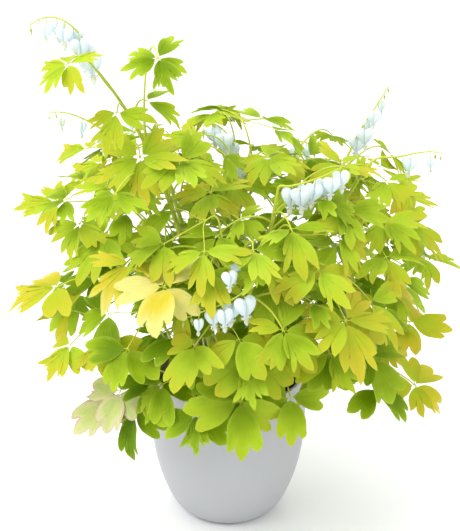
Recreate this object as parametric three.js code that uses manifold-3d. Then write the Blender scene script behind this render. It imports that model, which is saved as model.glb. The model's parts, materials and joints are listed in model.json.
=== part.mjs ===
// A bleeding heart plant with golden leaves and white flowers, in its pot.
// Millimetres, +Z up. The origin is the centre of the pot's foot, and -Y is the front.
import * as THREE from 'three';
import { mergeVertices } from 'three/addons/utils/BufferGeometryUtils.js';
import Module from 'manifold-3d';

const wasm = await Module();
wasm.setup();

// ---- driving dimensions ----------------------------------------------------------------

const GAP = 0.35;                 // clearance between touching pieces
const POT = {
  height: 200, foot: 54, corner: [68.7, 80], cornerHeight: 26,
  belly: 102.3, bellyHeight: 154, rim: 100, wall: 4, floor: 5, sides: 32,
};
const LINER = { height: 165, top: 89, foot: 51, wall: 1.6, lip: 2.6, lipHeight: 9, sides: 20 };
const SOIL = { top: 174, dome: 5, sides: 20 };
const ROOT_DEPTH = 22;            // how far a stem stands in the soil

// Stalks taper from low to high, as radii. A petiole leaves its foot and arrives at its fork
// along handles that are shares of its reach, and it rises a little before the fork.
const STEM = { low: 4.0, high: 2.0, sides: 5, steps: 6 };
const PETIOLE = { low: 1.8, high: 1.1, sides: 3, steps: 4, fork: 4, leave: 0.42, arrive: 0.34, lift: 0.1 };
const PEDUNCLE = { low: 1.3, high: 0.8, sides: 3, steps: 6 };
const PEDICEL = { radius: 0.6, drop: 8, aside: 4, budDrop: 3.6, budAside: 1.5 };

// The arms of a forked frond: their length, the side ones' share of it, and how they turn and dip.
const ARM = { length: 60, sideShare: 0.9, turn: 62, dip: 0.25, radiusShare: 0.8 };

// A leaf blade folds up along its rib and curls down to its tips.
const BLADE = { length: 64, thick: 0.8, fold: 0.2, curl: 0.2, sideShare: 0.9, notch: 0.1 };
const LIGHT = { up: 0.8, ahead: 0.45, front: 0.25 };          // where blades face
const SPREAD = { yaw: 11, length: 0.12, pitch: 14, roll: 20 };  // how much leaflets differ
const LEAF_YAWS = { 3: [-72, 0, 72], 5: [-128, -65, 0, 65, 128] };

// Leaflet outlines as lengths along and across the rib, from the root's one side to the other.
const END_LEAFLET = [[0.82, -0.36], [0.62, -0.13], [1.0, 0.0], [0.62, 0.13], [0.82, 0.36]];
const SIDE_LEAFLET = [[0.93, -0.18], [0.64, 0.03], [0.84, 0.32], [0.46, 0.21]];

// Where a spray's hearts begin and end along it, unless its row says where they begin, also
// where it has no buds, and how they hang.
const SPRAY = { begins: 0.28, ends: 0.84, bareEnds: 0.98, sway: 22, lean: 0.14, budSizes: [0.6, 0.4] };

// Half of a heart flower's outline, as parts of its width, from the notch down to the drop's tip.
const HEART_HALF = [[0.24, 0.50], [0.47, 0.34], [0.46, 0.04], [0.22, -0.32], [0.06, -0.48], [0.14, -0.72]];
const HEART = { notch: 0.34, lobe: [0.25, 0.18], waist: -0.12, drop: -0.72, tip: -1.02, swell: 0.2 };

const COLOURS = {
  lime: 0xb4d335, olive: 0xa9b53a, yellow: 0xe3cf4a, withered: 0xd3c49a, green: 0x5f9d2c,
  white: 0xf1f6fb, pot: 0xc3c7cb, liner: 0x17181b, soil: 0x3a2c22,
};

// Leafy shoots: root on the soil, two control points and the end of the stem. Each frond
// leaves the stem at a share of its length and reaches its tip's middle.
const SHOOTS = [
  {
    name: 'shoot_tall_left', root: [-6, -14], rise: [-45, -60, 330], bend: [-55, -85, 505],
    end: [-147, -85, 622],
    fronds: [
      { at: 0.93, tip: [-176, -125, 642], groups: 1, leaflets: 5, size: 0.74, droop: 35 },
      { at: 0.76, tip: [-76, -140, 652], groups: 1, leaflets: 5, size: 0.78, droop: 35 },
      { at: 0.84, tip: [-93, -88, 589], groups: 1, leaflets: 3, size: 0.75, droop: 15 },
      { at: 0.88, tip: [-124, -120, 585], groups: 1, leaflets: 3, size: 0.8, droop: 50 },
      { at: 0.60, tip: [-53, -120, 528], groups: 1, leaflets: 5, size: 1.0, droop: 25 },
      { at: 0.45, tip: [-96, -78, 480], groups: 1, leaflets: 3, size: 1.0, droop: 20 },
    ],
  },
  {
    name: 'shoot_left', root: [-30, -2], rise: [-50, -5, 300], bend: [-95, -30, 430],
    end: [-129, -40, 523],
    fronds: [
      { at: 0.85, tip: [-100, -114, 530], groups: 1, leaflets: 5, size: 1.05, droop: 35 },
      { at: 0.88, tip: [-172, 0, 503], groups: 1, leaflets: 3, size: 0.9, droop: 10 },
      { at: 0.60, tip: [-210, -25, 442], groups: 3, leaflets: 3, size: 0.9, droop: 2 },
      { at: 0.52, tip: [-150, -85, 420], groups: 1, leaflets: 5, size: 1.0, droop: 30 },
      { at: 0.45, tip: [-167, 20, 401], groups: 1, leaflets: 3, size: 1.05, droop: 30 },
    ],
  },
  {
    name: 'shoot_top', root: [4, 20], rise: [5, 28, 300], bend: [10, 20, 400], end: [21, 20, 458],
    fronds: [
      { at: 0.85, tip: [43, 62, 522], groups: 3, leaflets: 3, size: 0.85, droop: 12 },
      { at: 0.80, tip: [-17, 50, 533], groups: 1, leaflets: 5, size: 0.9, droop: 15 },
      { at: 0.92, tip: [49, -22, 499], groups: 1, leaflets: 5, size: 0.95, droop: 15 },
      { at: 0.70, tip: [-20, -90, 478], groups: 1, leaflets: 5, size: 0.95, droop: 25 },
      { at: 0.78, tip: [101, 15, 487], groups: 1, leaflets: 3, size: 0.95, droop: 10 },
      { at: 0.55, tip: [5, -35, 470], groups: 1, leaflets: 3, size: 1.1, droop: 5 },
      { at: 0.75, tip: [-38, 0, 519], groups: 1, leaflets: 3, size: 0.8, droop: 4 },
    ],
  },
  {
    name: 'shoot_centre', root: [16, -16], rise: [30, -50, 300], bend: [45, -100, 400],
    end: [58, -110, 489],
    fronds: [
      { at: 0.75, tip: [102, -182, 418], groups: 3, leaflets: 3, size: 1.0, droop: 30 },
      { at: 0.88, tip: [72, -155, 458], groups: 1, leaflets: 3, size: 0.95, droop: 20 },
      { at: 0.80, tip: [139, -100, 462], groups: 1, leaflets: 5, size: 1.0, droop: 20 },
      { at: 0.60, tip: [48, -170, 398], groups: 1, leaflets: 3, size: 1.0, droop: 35 },
      { at: 0.62, tip: [165, -155, 368], groups: 1, leaflets: 3, size: 1.0, droop: 35 },
    ],
  },
  {
    name: 'shoot_right', root: [34, 16], rise: [60, 25, 320], bend: [120, 50, 400],
    end: [155, 60, 479],
    fronds: [
      { at: 0.85, tip: [141, 5, 480], groups: 1, leaflets: 5, size: 0.9, droop: 10 },
      { at: 0.72, tip: [218, 40, 430], groups: 3, leaflets: 3, size: 0.9, droop: 20 },
      { at: 0.62, tip: [188, -60, 430], groups: 1, leaflets: 3, size: 1.0, droop: 25 },
      { at: 0.80, tip: [195, -5, 463], groups: 1, leaflets: 3, size: 0.9, droop: 12 },
    ],
  },
  {
    name: 'shoot_far_right', root: [38, -8], rise: [70, -5, 300], bend: [130, 0, 410],
    end: [169, 0, 475],
    fronds: [
      { at: 0.70, tip: [249, 5, 357], groups: 1, leaflets: 5, size: 0.95, droop: 20 },
      { at: 0.75, tip: [188, -98, 400], groups: 3, leaflets: 3, size: 1.0, droop: 30 },
    ],
  },
  {
    name: 'shoot_front', root: [2, -36], rise: [5, -60, 300], bend: [20, -170, 340],
    end: [28, -200, 417],
    fronds: [
      { at: 0.86, tip: [62, -218, 361], groups: 1, leaflets: 5, size: 1.0, droop: 45 },
      { at: 0.70, tip: [-37, -205, 336], groups: 3, leaflets: 3, size: 0.9, droop: 40 },
    ],
  },
  {
    name: 'shoot_middle', root: [-16, -34], rise: [-10, -50, 310], bend: [-5, -130, 360],
    end: [6, -150, 432],
    fronds: [
      { at: 0.85, tip: [-72, -160, 442], groups: 3, leaflets: 3, size: 0.95, droop: 25 },
      { at: 0.90, tip: [28, -188, 446], groups: 1, leaflets: 3, size: 0.95, droop: 25 },
      { at: 0.65, tip: [-20, -182, 420], groups: 1, leaflets: 3, size: 1.0, droop: 35 },
    ],
  },
  {
    name: 'shoot_back_left', root: [-20, 34], rise: [-30, 50, 320], bend: [-80, 110, 400],
    end: [-92, 130, 482],
    fronds: [
      { at: 0.80, tip: [-168, 130, 440], groups: 3, leaflets: 3, size: 0.95, droop: 25 },
      { at: 0.85, tip: [-70, 190, 430], groups: 1, leaflets: 3, size: 1.1, droop: 30 },
      { at: 0.93, tip: [-117, 70, 502], groups: 1, leaflets: 3, size: 0.9, droop: 15 },
      { at: 0.60, tip: [-40, 90, 440], groups: 1, leaflets: 3, size: 1.1, droop: 15 },
    ],
  },
  {
    name: 'shoot_back_right', root: [26, 38], rise: [40, 60, 320], bend: [80, 110, 400],
    end: [92, 130, 470],
    fronds: [
      { at: 0.80, tip: [168, 140, 405], groups: 3, leaflets: 3, size: 0.95, droop: 30 },
      { at: 0.85, tip: [51, 190, 427], groups: 1, leaflets: 3, size: 1.1, droop: 25 },
      { at: 0.92, tip: [89, 80, 460], groups: 1, leaflets: 3, size: 0.9, droop: 10 },
      { at: 0.60, tip: [119, 52, 428], groups: 1, leaflets: 3, size: 1.1, droop: 15 },
    ],
  },
];

// Fronds that rise from the crown on stalks of their own.
const FRONDS = [
  { name: 'frond_yellow', colour: 'yellow', root: [-22, -52], tip: [-71, -200, 406], groups: 1,
    leaflets: 5, size: 1.05, droop: 30 },
  { name: 'frond_amber', colour: 'yellow', root: [-36, -36], tip: [-111, -158, 417], groups: 1,
    leaflets: 3, size: 1.0, droop: 25 },
  { name: 'frond_left_high', colour: 'olive', root: [-48, -14], tip: [-208, -66, 347], groups: 1,
    leaflets: 3, size: 1.1, droop: 12 },
  { name: 'frond_left_low', colour: 'lime', root: [-56, -26], tip: [-190, -114, 292], groups: 3,
    leaflets: 3, size: 0.86, droop: 35 },
  { name: 'frond_left_front', colour: 'lime', root: [-42, -50], tip: [-117, -165, 312], groups: 3,
    leaflets: 3, size: 0.95, droop: 35 },
  { name: 'frond_withered', colour: 'withered', root: [-66, -40], tip: [-145, -80, 197], groups: 1,
    leaflets: 3, size: 1.0, droop: 15 },
  { name: 'frond_pale_left', colour: 'lime', root: [-54, -54], tip: [-130, -136, 240], groups: 1,
    leaflets: 3, size: 0.85, droop: 45 },
  { name: 'frond_hanging', colour: 'green', root: [-40, -66], tip: [-113, -148, 219], groups: 1,
    leaflets: 3, size: 1.0, droop: 70 },
  { name: 'frond_front_left', colour: 'lime', root: [-20, -72], tip: [-37, -192, 241], groups: 3,
    leaflets: 3, size: 0.9, droop: 50 },
  { name: 'frond_front', colour: 'lime', root: [12, -56], tip: [14, -207, 265], groups: 1,
    leaflets: 5, size: 1.15, droop: 60 },
  { name: 'frond_rim_left', colour: 'lime', root: [-46, -36], tip: [-84, -150, 264], groups: 1,
    leaflets: 3, size: 1.0, droop: 50 },
  { name: 'frond_rim_right', colour: 'lime', root: [16, -74], tip: [48, -170, 296], groups: 1,
    leaflets: 3, size: 1.0, droop: 50 },
  { name: 'frond_front_high', colour: 'lime', root: [7, -25], tip: [22, -206, 318], groups: 1,
    leaflets: 5, size: 1.05, droop: 50 },
  { name: 'frond_front_right', colour: 'lime', root: [28, -70], tip: [73, -187, 260], groups: 3,
    leaflets: 3, size: 0.88, droop: 50 },
  { name: 'frond_gold', colour: 'lime', root: [30, -40], tip: [134, -195, 362], groups: 1,
    leaflets: 5, size: 1.1, droop: 40 },
  { name: 'frond_right_front', colour: 'lime', root: [46, -52], tip: [118, -186, 316], groups: 3,
    leaflets: 3, size: 0.95, droop: 38 },
  { name: 'frond_right_pale', colour: 'lime', root: [60, -40], tip: [170, -128, 282], groups: 3,
    leaflets: 3, size: 0.95, droop: 35 },
  { name: 'frond_right_dark', colour: 'green', root: [50, -28], tip: [180, -126, 239], groups: 1,
    leaflets: 3, size: 0.9, droop: 35 },
  { name: 'frond_right_low', colour: 'olive', root: [68, -14], tip: [237, -62, 209], groups: 1,
    leaflets: 5, size: 0.95, droop: 25 },
  { name: 'frond_right_high', colour: 'lime', root: [54, 2], tip: [228, -48, 291], groups: 3,
    leaflets: 3, size: 0.9, droop: 12 },
  { name: 'frond_left_back', colour: 'lime', root: [-60, 10], tip: [-216, 67, 290], groups: 3,
    leaflets: 3, size: 0.95, droop: 30 },
  { name: 'frond_back_left', colour: 'lime', root: [-38, 52], tip: [-140, 190, 306], groups: 3,
    leaflets: 3, size: 1.0, droop: 40 },
  { name: 'frond_back', colour: 'lime', root: [0, 66], tip: [9, 232, 303], groups: 3,
    leaflets: 3, size: 1.0, droop: 40 },
  { name: 'frond_back_right', colour: 'lime', root: [40, 58], tip: [148, 188, 266], groups: 3,
    leaflets: 3, size: 1.0, droop: 45 },
  { name: 'frond_right_back', colour: 'lime', root: [62, 26], tip: [236, 100, 280], groups: 3,
    leaflets: 3, size: 0.95, droop: 35 },
];

// Flower sprays: each goes on from the end of its shoot.
const SPRAYS = [
  { name: 'flowers_tall_left', shoot: 'shoot_tall_left', out: [-149, -85, 643],
    over: [-179, -85, 708], tip: [-221, -85, 676], hearts: 7, buds: 2, first: 19, last: 13 },
  { name: 'flowers_left', shoot: 'shoot_left', out: [-152, -42, 542],
    over: [-181, -42, 567], tip: [-211, -42, 561], hearts: 3, buds: 2, first: 15, last: 9 },
  { name: 'flowers_top', shoot: 'shoot_top', out: [16, 18, 490], over: [-6, 10, 545],
    tip: [-30, 5, 530], hearts: 4, buds: 1, first: 20, last: 16 },
  { name: 'flowers_centre', shoot: 'shoot_centre', out: [75, -114, 494],
    over: [104, -114, 502], tip: [131, -112, 517], hearts: 7, buds: 0, first: 18, last: 15 },
  { name: 'flowers_right', shoot: 'shoot_right', out: [165, 60, 510],
    over: [185, 60, 534], tip: [200, 60, 565], hearts: 5, buds: 2, first: 18, last: 11 },
  { name: 'flowers_far_right', shoot: 'shoot_far_right', out: [190, 0, 484],
    over: [235, 0, 505], tip: [262, 0, 497], hearts: 2, buds: 2, first: 15, last: 12,
    begins: 0.62 },
  { name: 'flowers_front', shoot: 'shoot_front', out: [21, -216, 397],
    over: [-13, -222, 393], tip: [-49, -220, 376], hearts: 5, buds: 2, first: 19, last: 12 },
  { name: 'flowers_middle', shoot: 'shoot_middle', out: [14, -165, 442],
    over: [21, -200, 441], tip: [-2, -214, 437], hearts: 3, buds: 0, first: 17, last: 14 },
  { name: 'flowers_back_left', shoot: 'shoot_back_left', out: [-96, 140, 510],
    over: [-115, 165, 500], tip: [-138, 180, 490], hearts: 3, buds: 1, first: 17, last: 12 },
  { name: 'flowers_back_right', shoot: 'shoot_back_right', out: [93, 142, 461],
    over: [105, 170, 465], tip: [118, 200, 435], hearts: 3, buds: 1, first: 17, last: 12 },
];

// ---- small tools -----------------------------------------------------------------------

const rad = THREE.MathUtils.degToRad;
const lerp = THREE.MathUtils.lerp;
const UP = new THREE.Vector3(0, 0, 1);
const FRONT = new THREE.Vector3(0, -1, 0);
const point = (xyz) => new THREE.Vector3(...xyz);
const along = (origin, ...pairs) => pairs.reduce(
  (sum, [direction, amount]) => sum.addScaledVector(direction, amount), origin.clone());

// A fixed spread of values from -1 to 1, one for each numbered piece and each of its traits.
function vary(number, trait) {
  const value = (number + 1) * 0.6180339887 + trait * 0.7548776662;
  return 2 * (value - Math.floor(value)) - 1;
}

function toSolid(geometry) {
  geometry.deleteAttribute('normal');
  geometry.deleteAttribute('uv');
  const merged = mergeVertices(geometry, 1e-4);
  return new wasm.Manifold(new wasm.Mesh({
    numProp: 3,
    vertProperties: new Float32Array(merged.attributes.position.array),
    triVerts: new Uint32Array(merged.index.array),
  }));
}

function fromCorners(corners, triangles) {
  const geometry = new THREE.BufferGeometry();
  geometry.setAttribute('position',
    new THREE.Float32BufferAttribute(corners.flatMap((p) => [p.x, p.y, p.z]), 3));
  geometry.setIndex(triangles);
  return toSolid(geometry);
}

function toMesh(solid, name, colour, roughness) {
  const mesh = solid.getMesh();
  const geometry = new THREE.BufferGeometry();
  geometry.setAttribute('position', new THREE.BufferAttribute(mesh.vertProperties, 3));
  geometry.setIndex(new THREE.BufferAttribute(mesh.triVerts, 1));
  const material = new THREE.MeshStandardMaterial({
    color: COLOURS[colour], roughness, metalness: 0,
  });
  const result = new THREE.Mesh(geometry, material);
  result.name = name;
  return result;
}

// ---- pot, liner and soil ---------------------------------------------------------------

function turned(profile, sides) {
  const points = profile.map(([radius, height]) => new THREE.Vector2(radius, height));
  const geometry = new THREE.LatheGeometry(points, sides);
  geometry.rotateX(Math.PI / 2);
  return toSolid(geometry);
}

function potRadius(height) {
  const below = (POT.bellyHeight - height) / (POT.bellyHeight - POT.cornerHeight);
  const above = (height - POT.bellyHeight) / (POT.height - POT.bellyHeight);
  if (height < POT.bellyHeight) {
    return POT.belly - (POT.belly - POT.corner[1]) * Math.pow(below, 2.5);
  }
  return POT.belly - (POT.belly - POT.rim) * above * above;
}

function cornerPoint(share) {
  const rest = 1 - share;
  const radius = rest * rest * POT.foot + 2 * rest * share * POT.corner[0]
    + share * share * POT.corner[1];
  return [radius, share * share * POT.cornerHeight];
}

function potSolid() {
  const shares = [0, 0.5];
  const heights = [26, 52, 84, 120, 160, 198];
  const outer = [[0, 0], ...shares.map(cornerPoint), ...heights.map((z) => [potRadius(z), z])];
  const lip = [[POT.rim - 0.9, POT.height], [POT.rim - POT.wall + 0.9, POT.height]];
  const inner = heights.slice(1).reverse().map((z) => [potRadius(z) - POT.wall, z]);
  const bottom = [[POT.corner[1] - 2, POT.cornerHeight - 1], [POT.corner[0] - 6, POT.floor + 4],
    [POT.foot, POT.floor], [0, POT.floor]];
  return turned([...outer, ...lip, ...inner, ...bottom], POT.sides);
}

const LINER_FOOT = POT.floor + GAP;
const linerTop = LINER_FOOT + LINER.height;
function linerRadius(height) {
  return lerp(LINER.foot, LINER.top, (height - LINER_FOOT) / LINER.height);
}

function linerSolid() {
  const foot = LINER_FOOT;
  const inside = foot + 2;
  const underLip = linerTop - LINER.lipHeight;
  return turned([
    [0, foot], [linerRadius(foot), foot], [linerRadius(underLip), underLip],
    [LINER.top + LINER.lip, underLip + 1], [LINER.top + LINER.lip, linerTop],
    [LINER.top, linerTop], [linerRadius(inside) - LINER.wall, inside], [0, inside],
  ], LINER.sides);
}

const CROWN = SOIL.top + SOIL.dome + 2;

// A square hole that a stem of the given radius stands in.
function stemHole([x, y], radius) {
  const half = (radius + GAP) / Math.cos(Math.PI / 4);
  const depth = ROOT_DEPTH + 2;
  const hole = new THREE.CylinderGeometry(half, half, depth, 4);
  hole.rotateX(Math.PI / 2);
  hole.translate(x, y, CROWN + 2 - GAP - depth / 2);
  return toSolid(hole);
}

function soilSolid(roots) {
  const low = LINER_FOOT + 2 + GAP;
  const gap = LINER.wall + GAP + 0.2;
  const soil = turned([
    [0, low], [linerRadius(low) - gap, low], [linerRadius(SOIL.top) - gap - 0.6, SOIL.top - 6],
    [0.8 * LINER.top, SOIL.top], [0.4 * LINER.top, SOIL.top + 0.8 * SOIL.dome],
    [0, SOIL.top + SOIL.dome],
  ], SOIL.sides);
  return roots.reduce((left, root) => left.subtract(stemHole(root.at, root.radius)), soil);
}

// ---- stalks ----------------------------------------------------------------------------

function bezier(p0, p1, p2, p3, steps) {
  const curve = new THREE.CubicBezierCurve3(p0, p1, p2, p3);
  return Array.from({ length: steps + 1 }, (_, i) => curve.getPoint(i / steps));
}

// The rings of a tapering tube along points. The first corner of the last ring lies at the
// given angle from the given direction, and the tube doesn't twist.
function tubeRings(path, low, high, sides, lastAcross, angle) {
  const last = path.length - 1;
  const rings = [];
  let across = lastAcross;
  for (let i = last; i >= 0; i -= 1) {
    const tangent = path[Math.min(i + 1, last)].clone().sub(path[Math.max(i - 1, 0)]).normalize();
    across = along(across, [tangent, -across.dot(tangent)]).normalize();
    const other = tangent.clone().cross(across);
    const radius = lerp(low, high, i / last);
    rings.unshift(Array.from({ length: sides }, (_, k) => {
      const turn = angle + (2 * Math.PI * k) / sides;
      return along(path[i], [across, radius * Math.cos(turn)], [other, radius * Math.sin(turn)]);
    }));
  }
  return rings;
}

// Corners and triangles that grow into one closed body. A loop is a list of corner numbers,
// counterclockwise about the direction of growth.
const newBody = () => ({ corners: [], triangles: [] });
const addLoop = (body, points) => points.map((p) => body.corners.push(p) - 1);
const closeBody = ({ corners, triangles }) => fromCorners(corners, triangles);

function capStart({ triangles }, loop) {
  for (let k = 1; k < loop.length - 1; k += 1) triangles.push(loop[0], loop[k + 1], loop[k]);
}

function capEnd({ triangles }, loop) {
  for (let k = 1; k < loop.length - 1; k += 1) triangles.push(loop[0], loop[k], loop[k + 1]);
}

function joinLoops({ triangles }, from, to, openSides = []) {
  from.forEach((a, k) => {
    if (openSides.includes(k)) return;
    const next = (k + 1) % from.length;
    triangles.push(a, from[next], to[next], a, to[next], to[k]);
  });
}

// Joins two loops of any length with the shortest edges between them.
function stitchLoops({ corners, triangles }, from, to) {
  const centred = (loop) => {
    const middle = along(new THREE.Vector3(), ...loop.map((i) => [corners[i], 1 / loop.length]));
    return loop.map((i) => corners[i].clone().sub(middle).normalize());
  };
  const [fromWays, toWays] = [centred(from), centred(to)];
  const gap = (i, j) => fromWays[i % from.length].distanceTo(toWays[j % to.length]);
  let j = 0;
  for (let k = 1; k < to.length; k += 1) if (gap(0, k) < gap(0, j)) j = k;
  const end = j + to.length;
  let i = 0;
  while (i < from.length || j < end) {
    const a = from[i % from.length];
    const b = to[j % to.length];
    if (j === end || (i < from.length && gap(i + 1, j) <= gap(i, j + 1))) {
      triangles.push(a, from[(i + 1) % from.length], b);
      i += 1;
    } else {
      triangles.push(a, to[(j + 1) % to.length], b);
      j += 1;
    }
  }
}

const ANY_ACROSS = new THREE.Vector3(0.36, 0.48, 0.8);

function tube(path, low, high, sides) {
  const body = newBody();
  const loops = tubeRings(path, low, high, sides, ANY_ACROSS, 0).map((ring) => addLoop(body, ring));
  loops.slice(1).forEach((loop, i) => joinLoops(body, loops[i], loop));
  capStart(body, loops[0]);
  capEnd(body, loops.at(-1));
  return closeBody(body);
}

// ---- leaves ----------------------------------------------------------------------------

// A leaf turns its face to the light: up, out from the plant and a little to the front.
function faceToLight(heading, ahead) {
  const light = along(new THREE.Vector3(), [UP, LIGHT.up], [ahead, LIGHT.ahead], [FRONT, LIGHT.front]);
  return along(light, [heading, -light.dot(heading)]).normalize();
}

function bladePoint(leaf, [u, v]) {
  const rise = BLADE.fold * Math.abs(v) - BLADE.curl * u * u;
  return along(leaf.root, [leaf.along, u * leaf.length], [leaf.across, v * leaf.length],
    [leaf.normal, rise * leaf.length]);
}

// A thin closed plate: a fan from its hub to a chain of rim points.
function plate(hub, hubNormal, rim, half) {
  const ring = [{ at: hub, normal: hubNormal }, ...rim];
  const count = ring.length;
  const corners = [...ring.map((p) => along(p.at, [p.normal, half])),
    ...ring.map((p) => along(p.at, [p.normal, -half]))];
  const triangles = [];
  for (let i = 1; i < count - 1; i += 1) {
    triangles.push(0, i, i + 1, count, count + i + 1, count + i);
  }
  for (let i = 0; i < count; i += 1) {
    const next = (i + 1) % count;
    triangles.push(i, count + i, count + next, i, count + next, next);
  }
  return fromCorners(corners, triangles);
}

const leafRim = (leaf) => leaf.outline.map((uv) => ({ at: bladePoint(leaf, uv), normal: leaf.normal }));

const acrossGroup = (group) => group.normal.clone().cross(group.heading);

// The three corners where a stalk ends and its leaflets begin: right, left and under.
function groupHub(group, radius) {
  const across = acrossGroup(group);
  const half = BLADE.thick / 2;
  return [
    along(group.at, [across, 0.9 * radius], [group.normal, half]),
    along(group.at, [across, -0.9 * radius], [group.normal, half]),
    along(group.at, [group.normal, -half]),
  ];
}

// Spreads a group's leaflets from its hub. They share the hub and a notch between each two.
function addLeaflets(body, hub, group, leaflets) {
  if (leaflets.length === 0) {
    capEnd(body, hub);
    return;
  }
  const { triangles } = body;
  const [right, left, under] = hub;
  const half = BLADE.thick / 2;
  const rim = [];
  leaflets.forEach((leaf, i) => {
    if (i > 0) {
      const middle = leaf.along.clone().add(leaflets[i - 1].along).normalize();
      rim.push({ at: along(group.at, [middle, BLADE.notch * leaf.length]), normal: group.normal });
    }
    rim.push(...leafRim(leaf));
  });
  const top = addLoop(body, rim.map((p) => along(p.at, [p.normal, half])));
  const low = addLoop(body, rim.map((p) => along(p.at, [p.normal, -half])));
  const wall = (a, b, underA, underB) => triangles.push(a, underA, underB, a, underB, b);
  const middle = Math.floor(rim.length / 2);
  for (let i = 0; i < rim.length - 1; i += 1) {
    triangles.push(i < middle ? left : right, top[i], top[i + 1], under, low[i + 1], low[i]);
    wall(top[i], top[i + 1], low[i], low[i + 1]);
  }
  triangles.push(left, top[middle], right);
  wall(left, top[0], under, low[0]);
  wall(top.at(-1), right, low.at(-1), under);
}

function turnedLeaf(leaf, [pitch, roll, scale]) {
  const tip = new THREE.Quaternion().setFromAxisAngle(leaf.across, rad(pitch));
  const twist = new THREE.Quaternion().setFromAxisAngle(leaf.along, rad(roll));
  const turn = tip.multiply(twist);
  return {
    ...leaf,
    length: leaf.length * scale,
    along: leaf.along.clone().applyQuaternion(turn),
    across: leaf.across.clone().applyQuaternion(turn),
    normal: leaf.normal.clone().applyQuaternion(turn),
  };
}

function planLeaflets(group, count, size, firstNumber) {
  const across = acrossGroup(group);
  return LEAF_YAWS[count].map((yaw, i) => {
    const number = firstNumber + i;
    const isEnd = yaw === 0;
    const outline = isEnd ? END_LEAFLET : SIDE_LEAFLET.map(([u, v]) => [u, yaw < 0 ? v : -v]);
    const turn = rad(yaw + SPREAD.yaw * vary(number, 1));
    const share = isEnd ? 1 : BLADE.sideShare;
    const flat = {
      root: group.at,
      length: BLADE.length * size * share * (1 + SPREAD.length * vary(number, 2)),
      outline: yaw < 0 || isEnd ? outline : outline.slice().reverse(),
      along: along(new THREE.Vector3(), [group.heading, Math.cos(turn)], [across, Math.sin(turn)]),
      across: along(new THREE.Vector3(), [group.heading, -Math.sin(turn)], [across, Math.cos(turn)]),
      normal: group.normal,
    };
    return turnedLeaf(flat, [SPREAD.pitch * vary(number, 3), SPREAD.roll * vary(number, 4), 1]);
  });
}

// ---- fronds ----------------------------------------------------------------------------

function planFrond(row, foot, leaving) {
  const tip = point(row.tip);
  const flat = tip.clone().sub(foot).setZ(0);
  const ahead = flat.clone().normalize();
  const droop = rad(row.droop);
  const heading = along(new THREE.Vector3(), [ahead, Math.cos(droop)], [UP, -Math.sin(droop)]);
  const normal = faceToLight(heading, ahead);
  const arm = ARM.length * row.size;
  const fork = row.groups > 1 ? along(tip, [heading, -arm]) : tip;
  const groups = [{ at: tip, heading, normal }];
  if (row.groups > 1) {
    [-1, 1].forEach((side) => {
      const turn = new THREE.Quaternion().setFromAxisAngle(normal, rad(side * ARM.turn));
      const armHeading = heading.clone().applyQuaternion(turn);
      const armAhead = armHeading.clone().setZ(0).normalize();
      const lower = along(armHeading, [UP, -ARM.dip]).normalize();
      groups.push({
        at: along(fork, [armHeading, ARM.sideShare * arm]),
        heading: lower,
        normal: faceToLight(lower, armAhead.add(ahead).normalize()),
      });
    });
  }
  return { row, foot, leaving, tip, heading, ahead, fork, groups };
}

// The stalk's path to its first leaf group, with its bow moved sideways and upward.
function petiolePath(frond, [sideways, upward]) {
  const reach = frond.fork.distanceTo(frond.foot);
  const side = UP.clone().cross(frond.ahead);
  const bow = [[side, sideways], [UP, upward]];
  const leave = along(frond.foot, [frond.leaving, PETIOLE.leave * reach], ...bow);
  const arrive = along(frond.fork, [frond.heading, -PETIOLE.arrive * reach], [UP, PETIOLE.lift * reach],
    ...bow);
  const path = bezier(frond.foot, leave, arrive, frond.fork, PETIOLE.steps);
  if (frond.isBasal) path.unshift(along(frond.foot, [UP, -ROOT_DEPTH]));
  if (frond.tip === frond.fork) return path;
  const below = path.at(-2).clone().sub(frond.fork).setLength(PETIOLE.fork);
  return [...path.slice(0, -1), frond.fork.clone().add(below), frond.fork, frond.tip];
}

const armPath = (frond, stalk, group) => [stalk.at(-3).clone().lerp(frond.fork, 0.5), group.at];

// A whole frond as one body: its stalk, the two arms that grow from the stalk's sides just
// below the fork, and the leaflets at each end.
function frondSolid(frond) {
  const body = newBody();
  const [main, ...arms] = frond.groups;
  const { low, high, sides } = PETIOLE;
  const rings = tubeRings(frond.stalks[0], low, high, sides, acrossGroup(main), Math.PI / 6);
  rings[rings.length - 1] = groupHub(main, high);
  const loops = rings.map((ring) => addLoop(body, ring));
  const forkStep = arms.length > 0 ? loops.length - 3 : -1;
  const armSides = [1, 2];
  capStart(body, loops[0]);
  loops.slice(1).forEach((loop, i) => joinLoops(body, loops[i], loop, i === forkStep ? armSides : []));
  addLeaflets(body, loops.at(-1), main, main.leaflets);
  arms.forEach((group, i) => {
    const k = armSides[i];
    const [before, after] = [loops[forkStep], loops[forkStep + 1]];
    const next = (k + 1) % sides;
    const base = [before[k], before[next], after[next], after[k]];
    const hub = addLoop(body, groupHub(group, ARM.radiusShare * high));
    stitchLoops(body, base, hub);
    addLeaflets(body, hub, group, group.leaflets);
  });
  return closeBody(body);
}

// ---- flower sprays ---------------------------------------------------------------------

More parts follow.
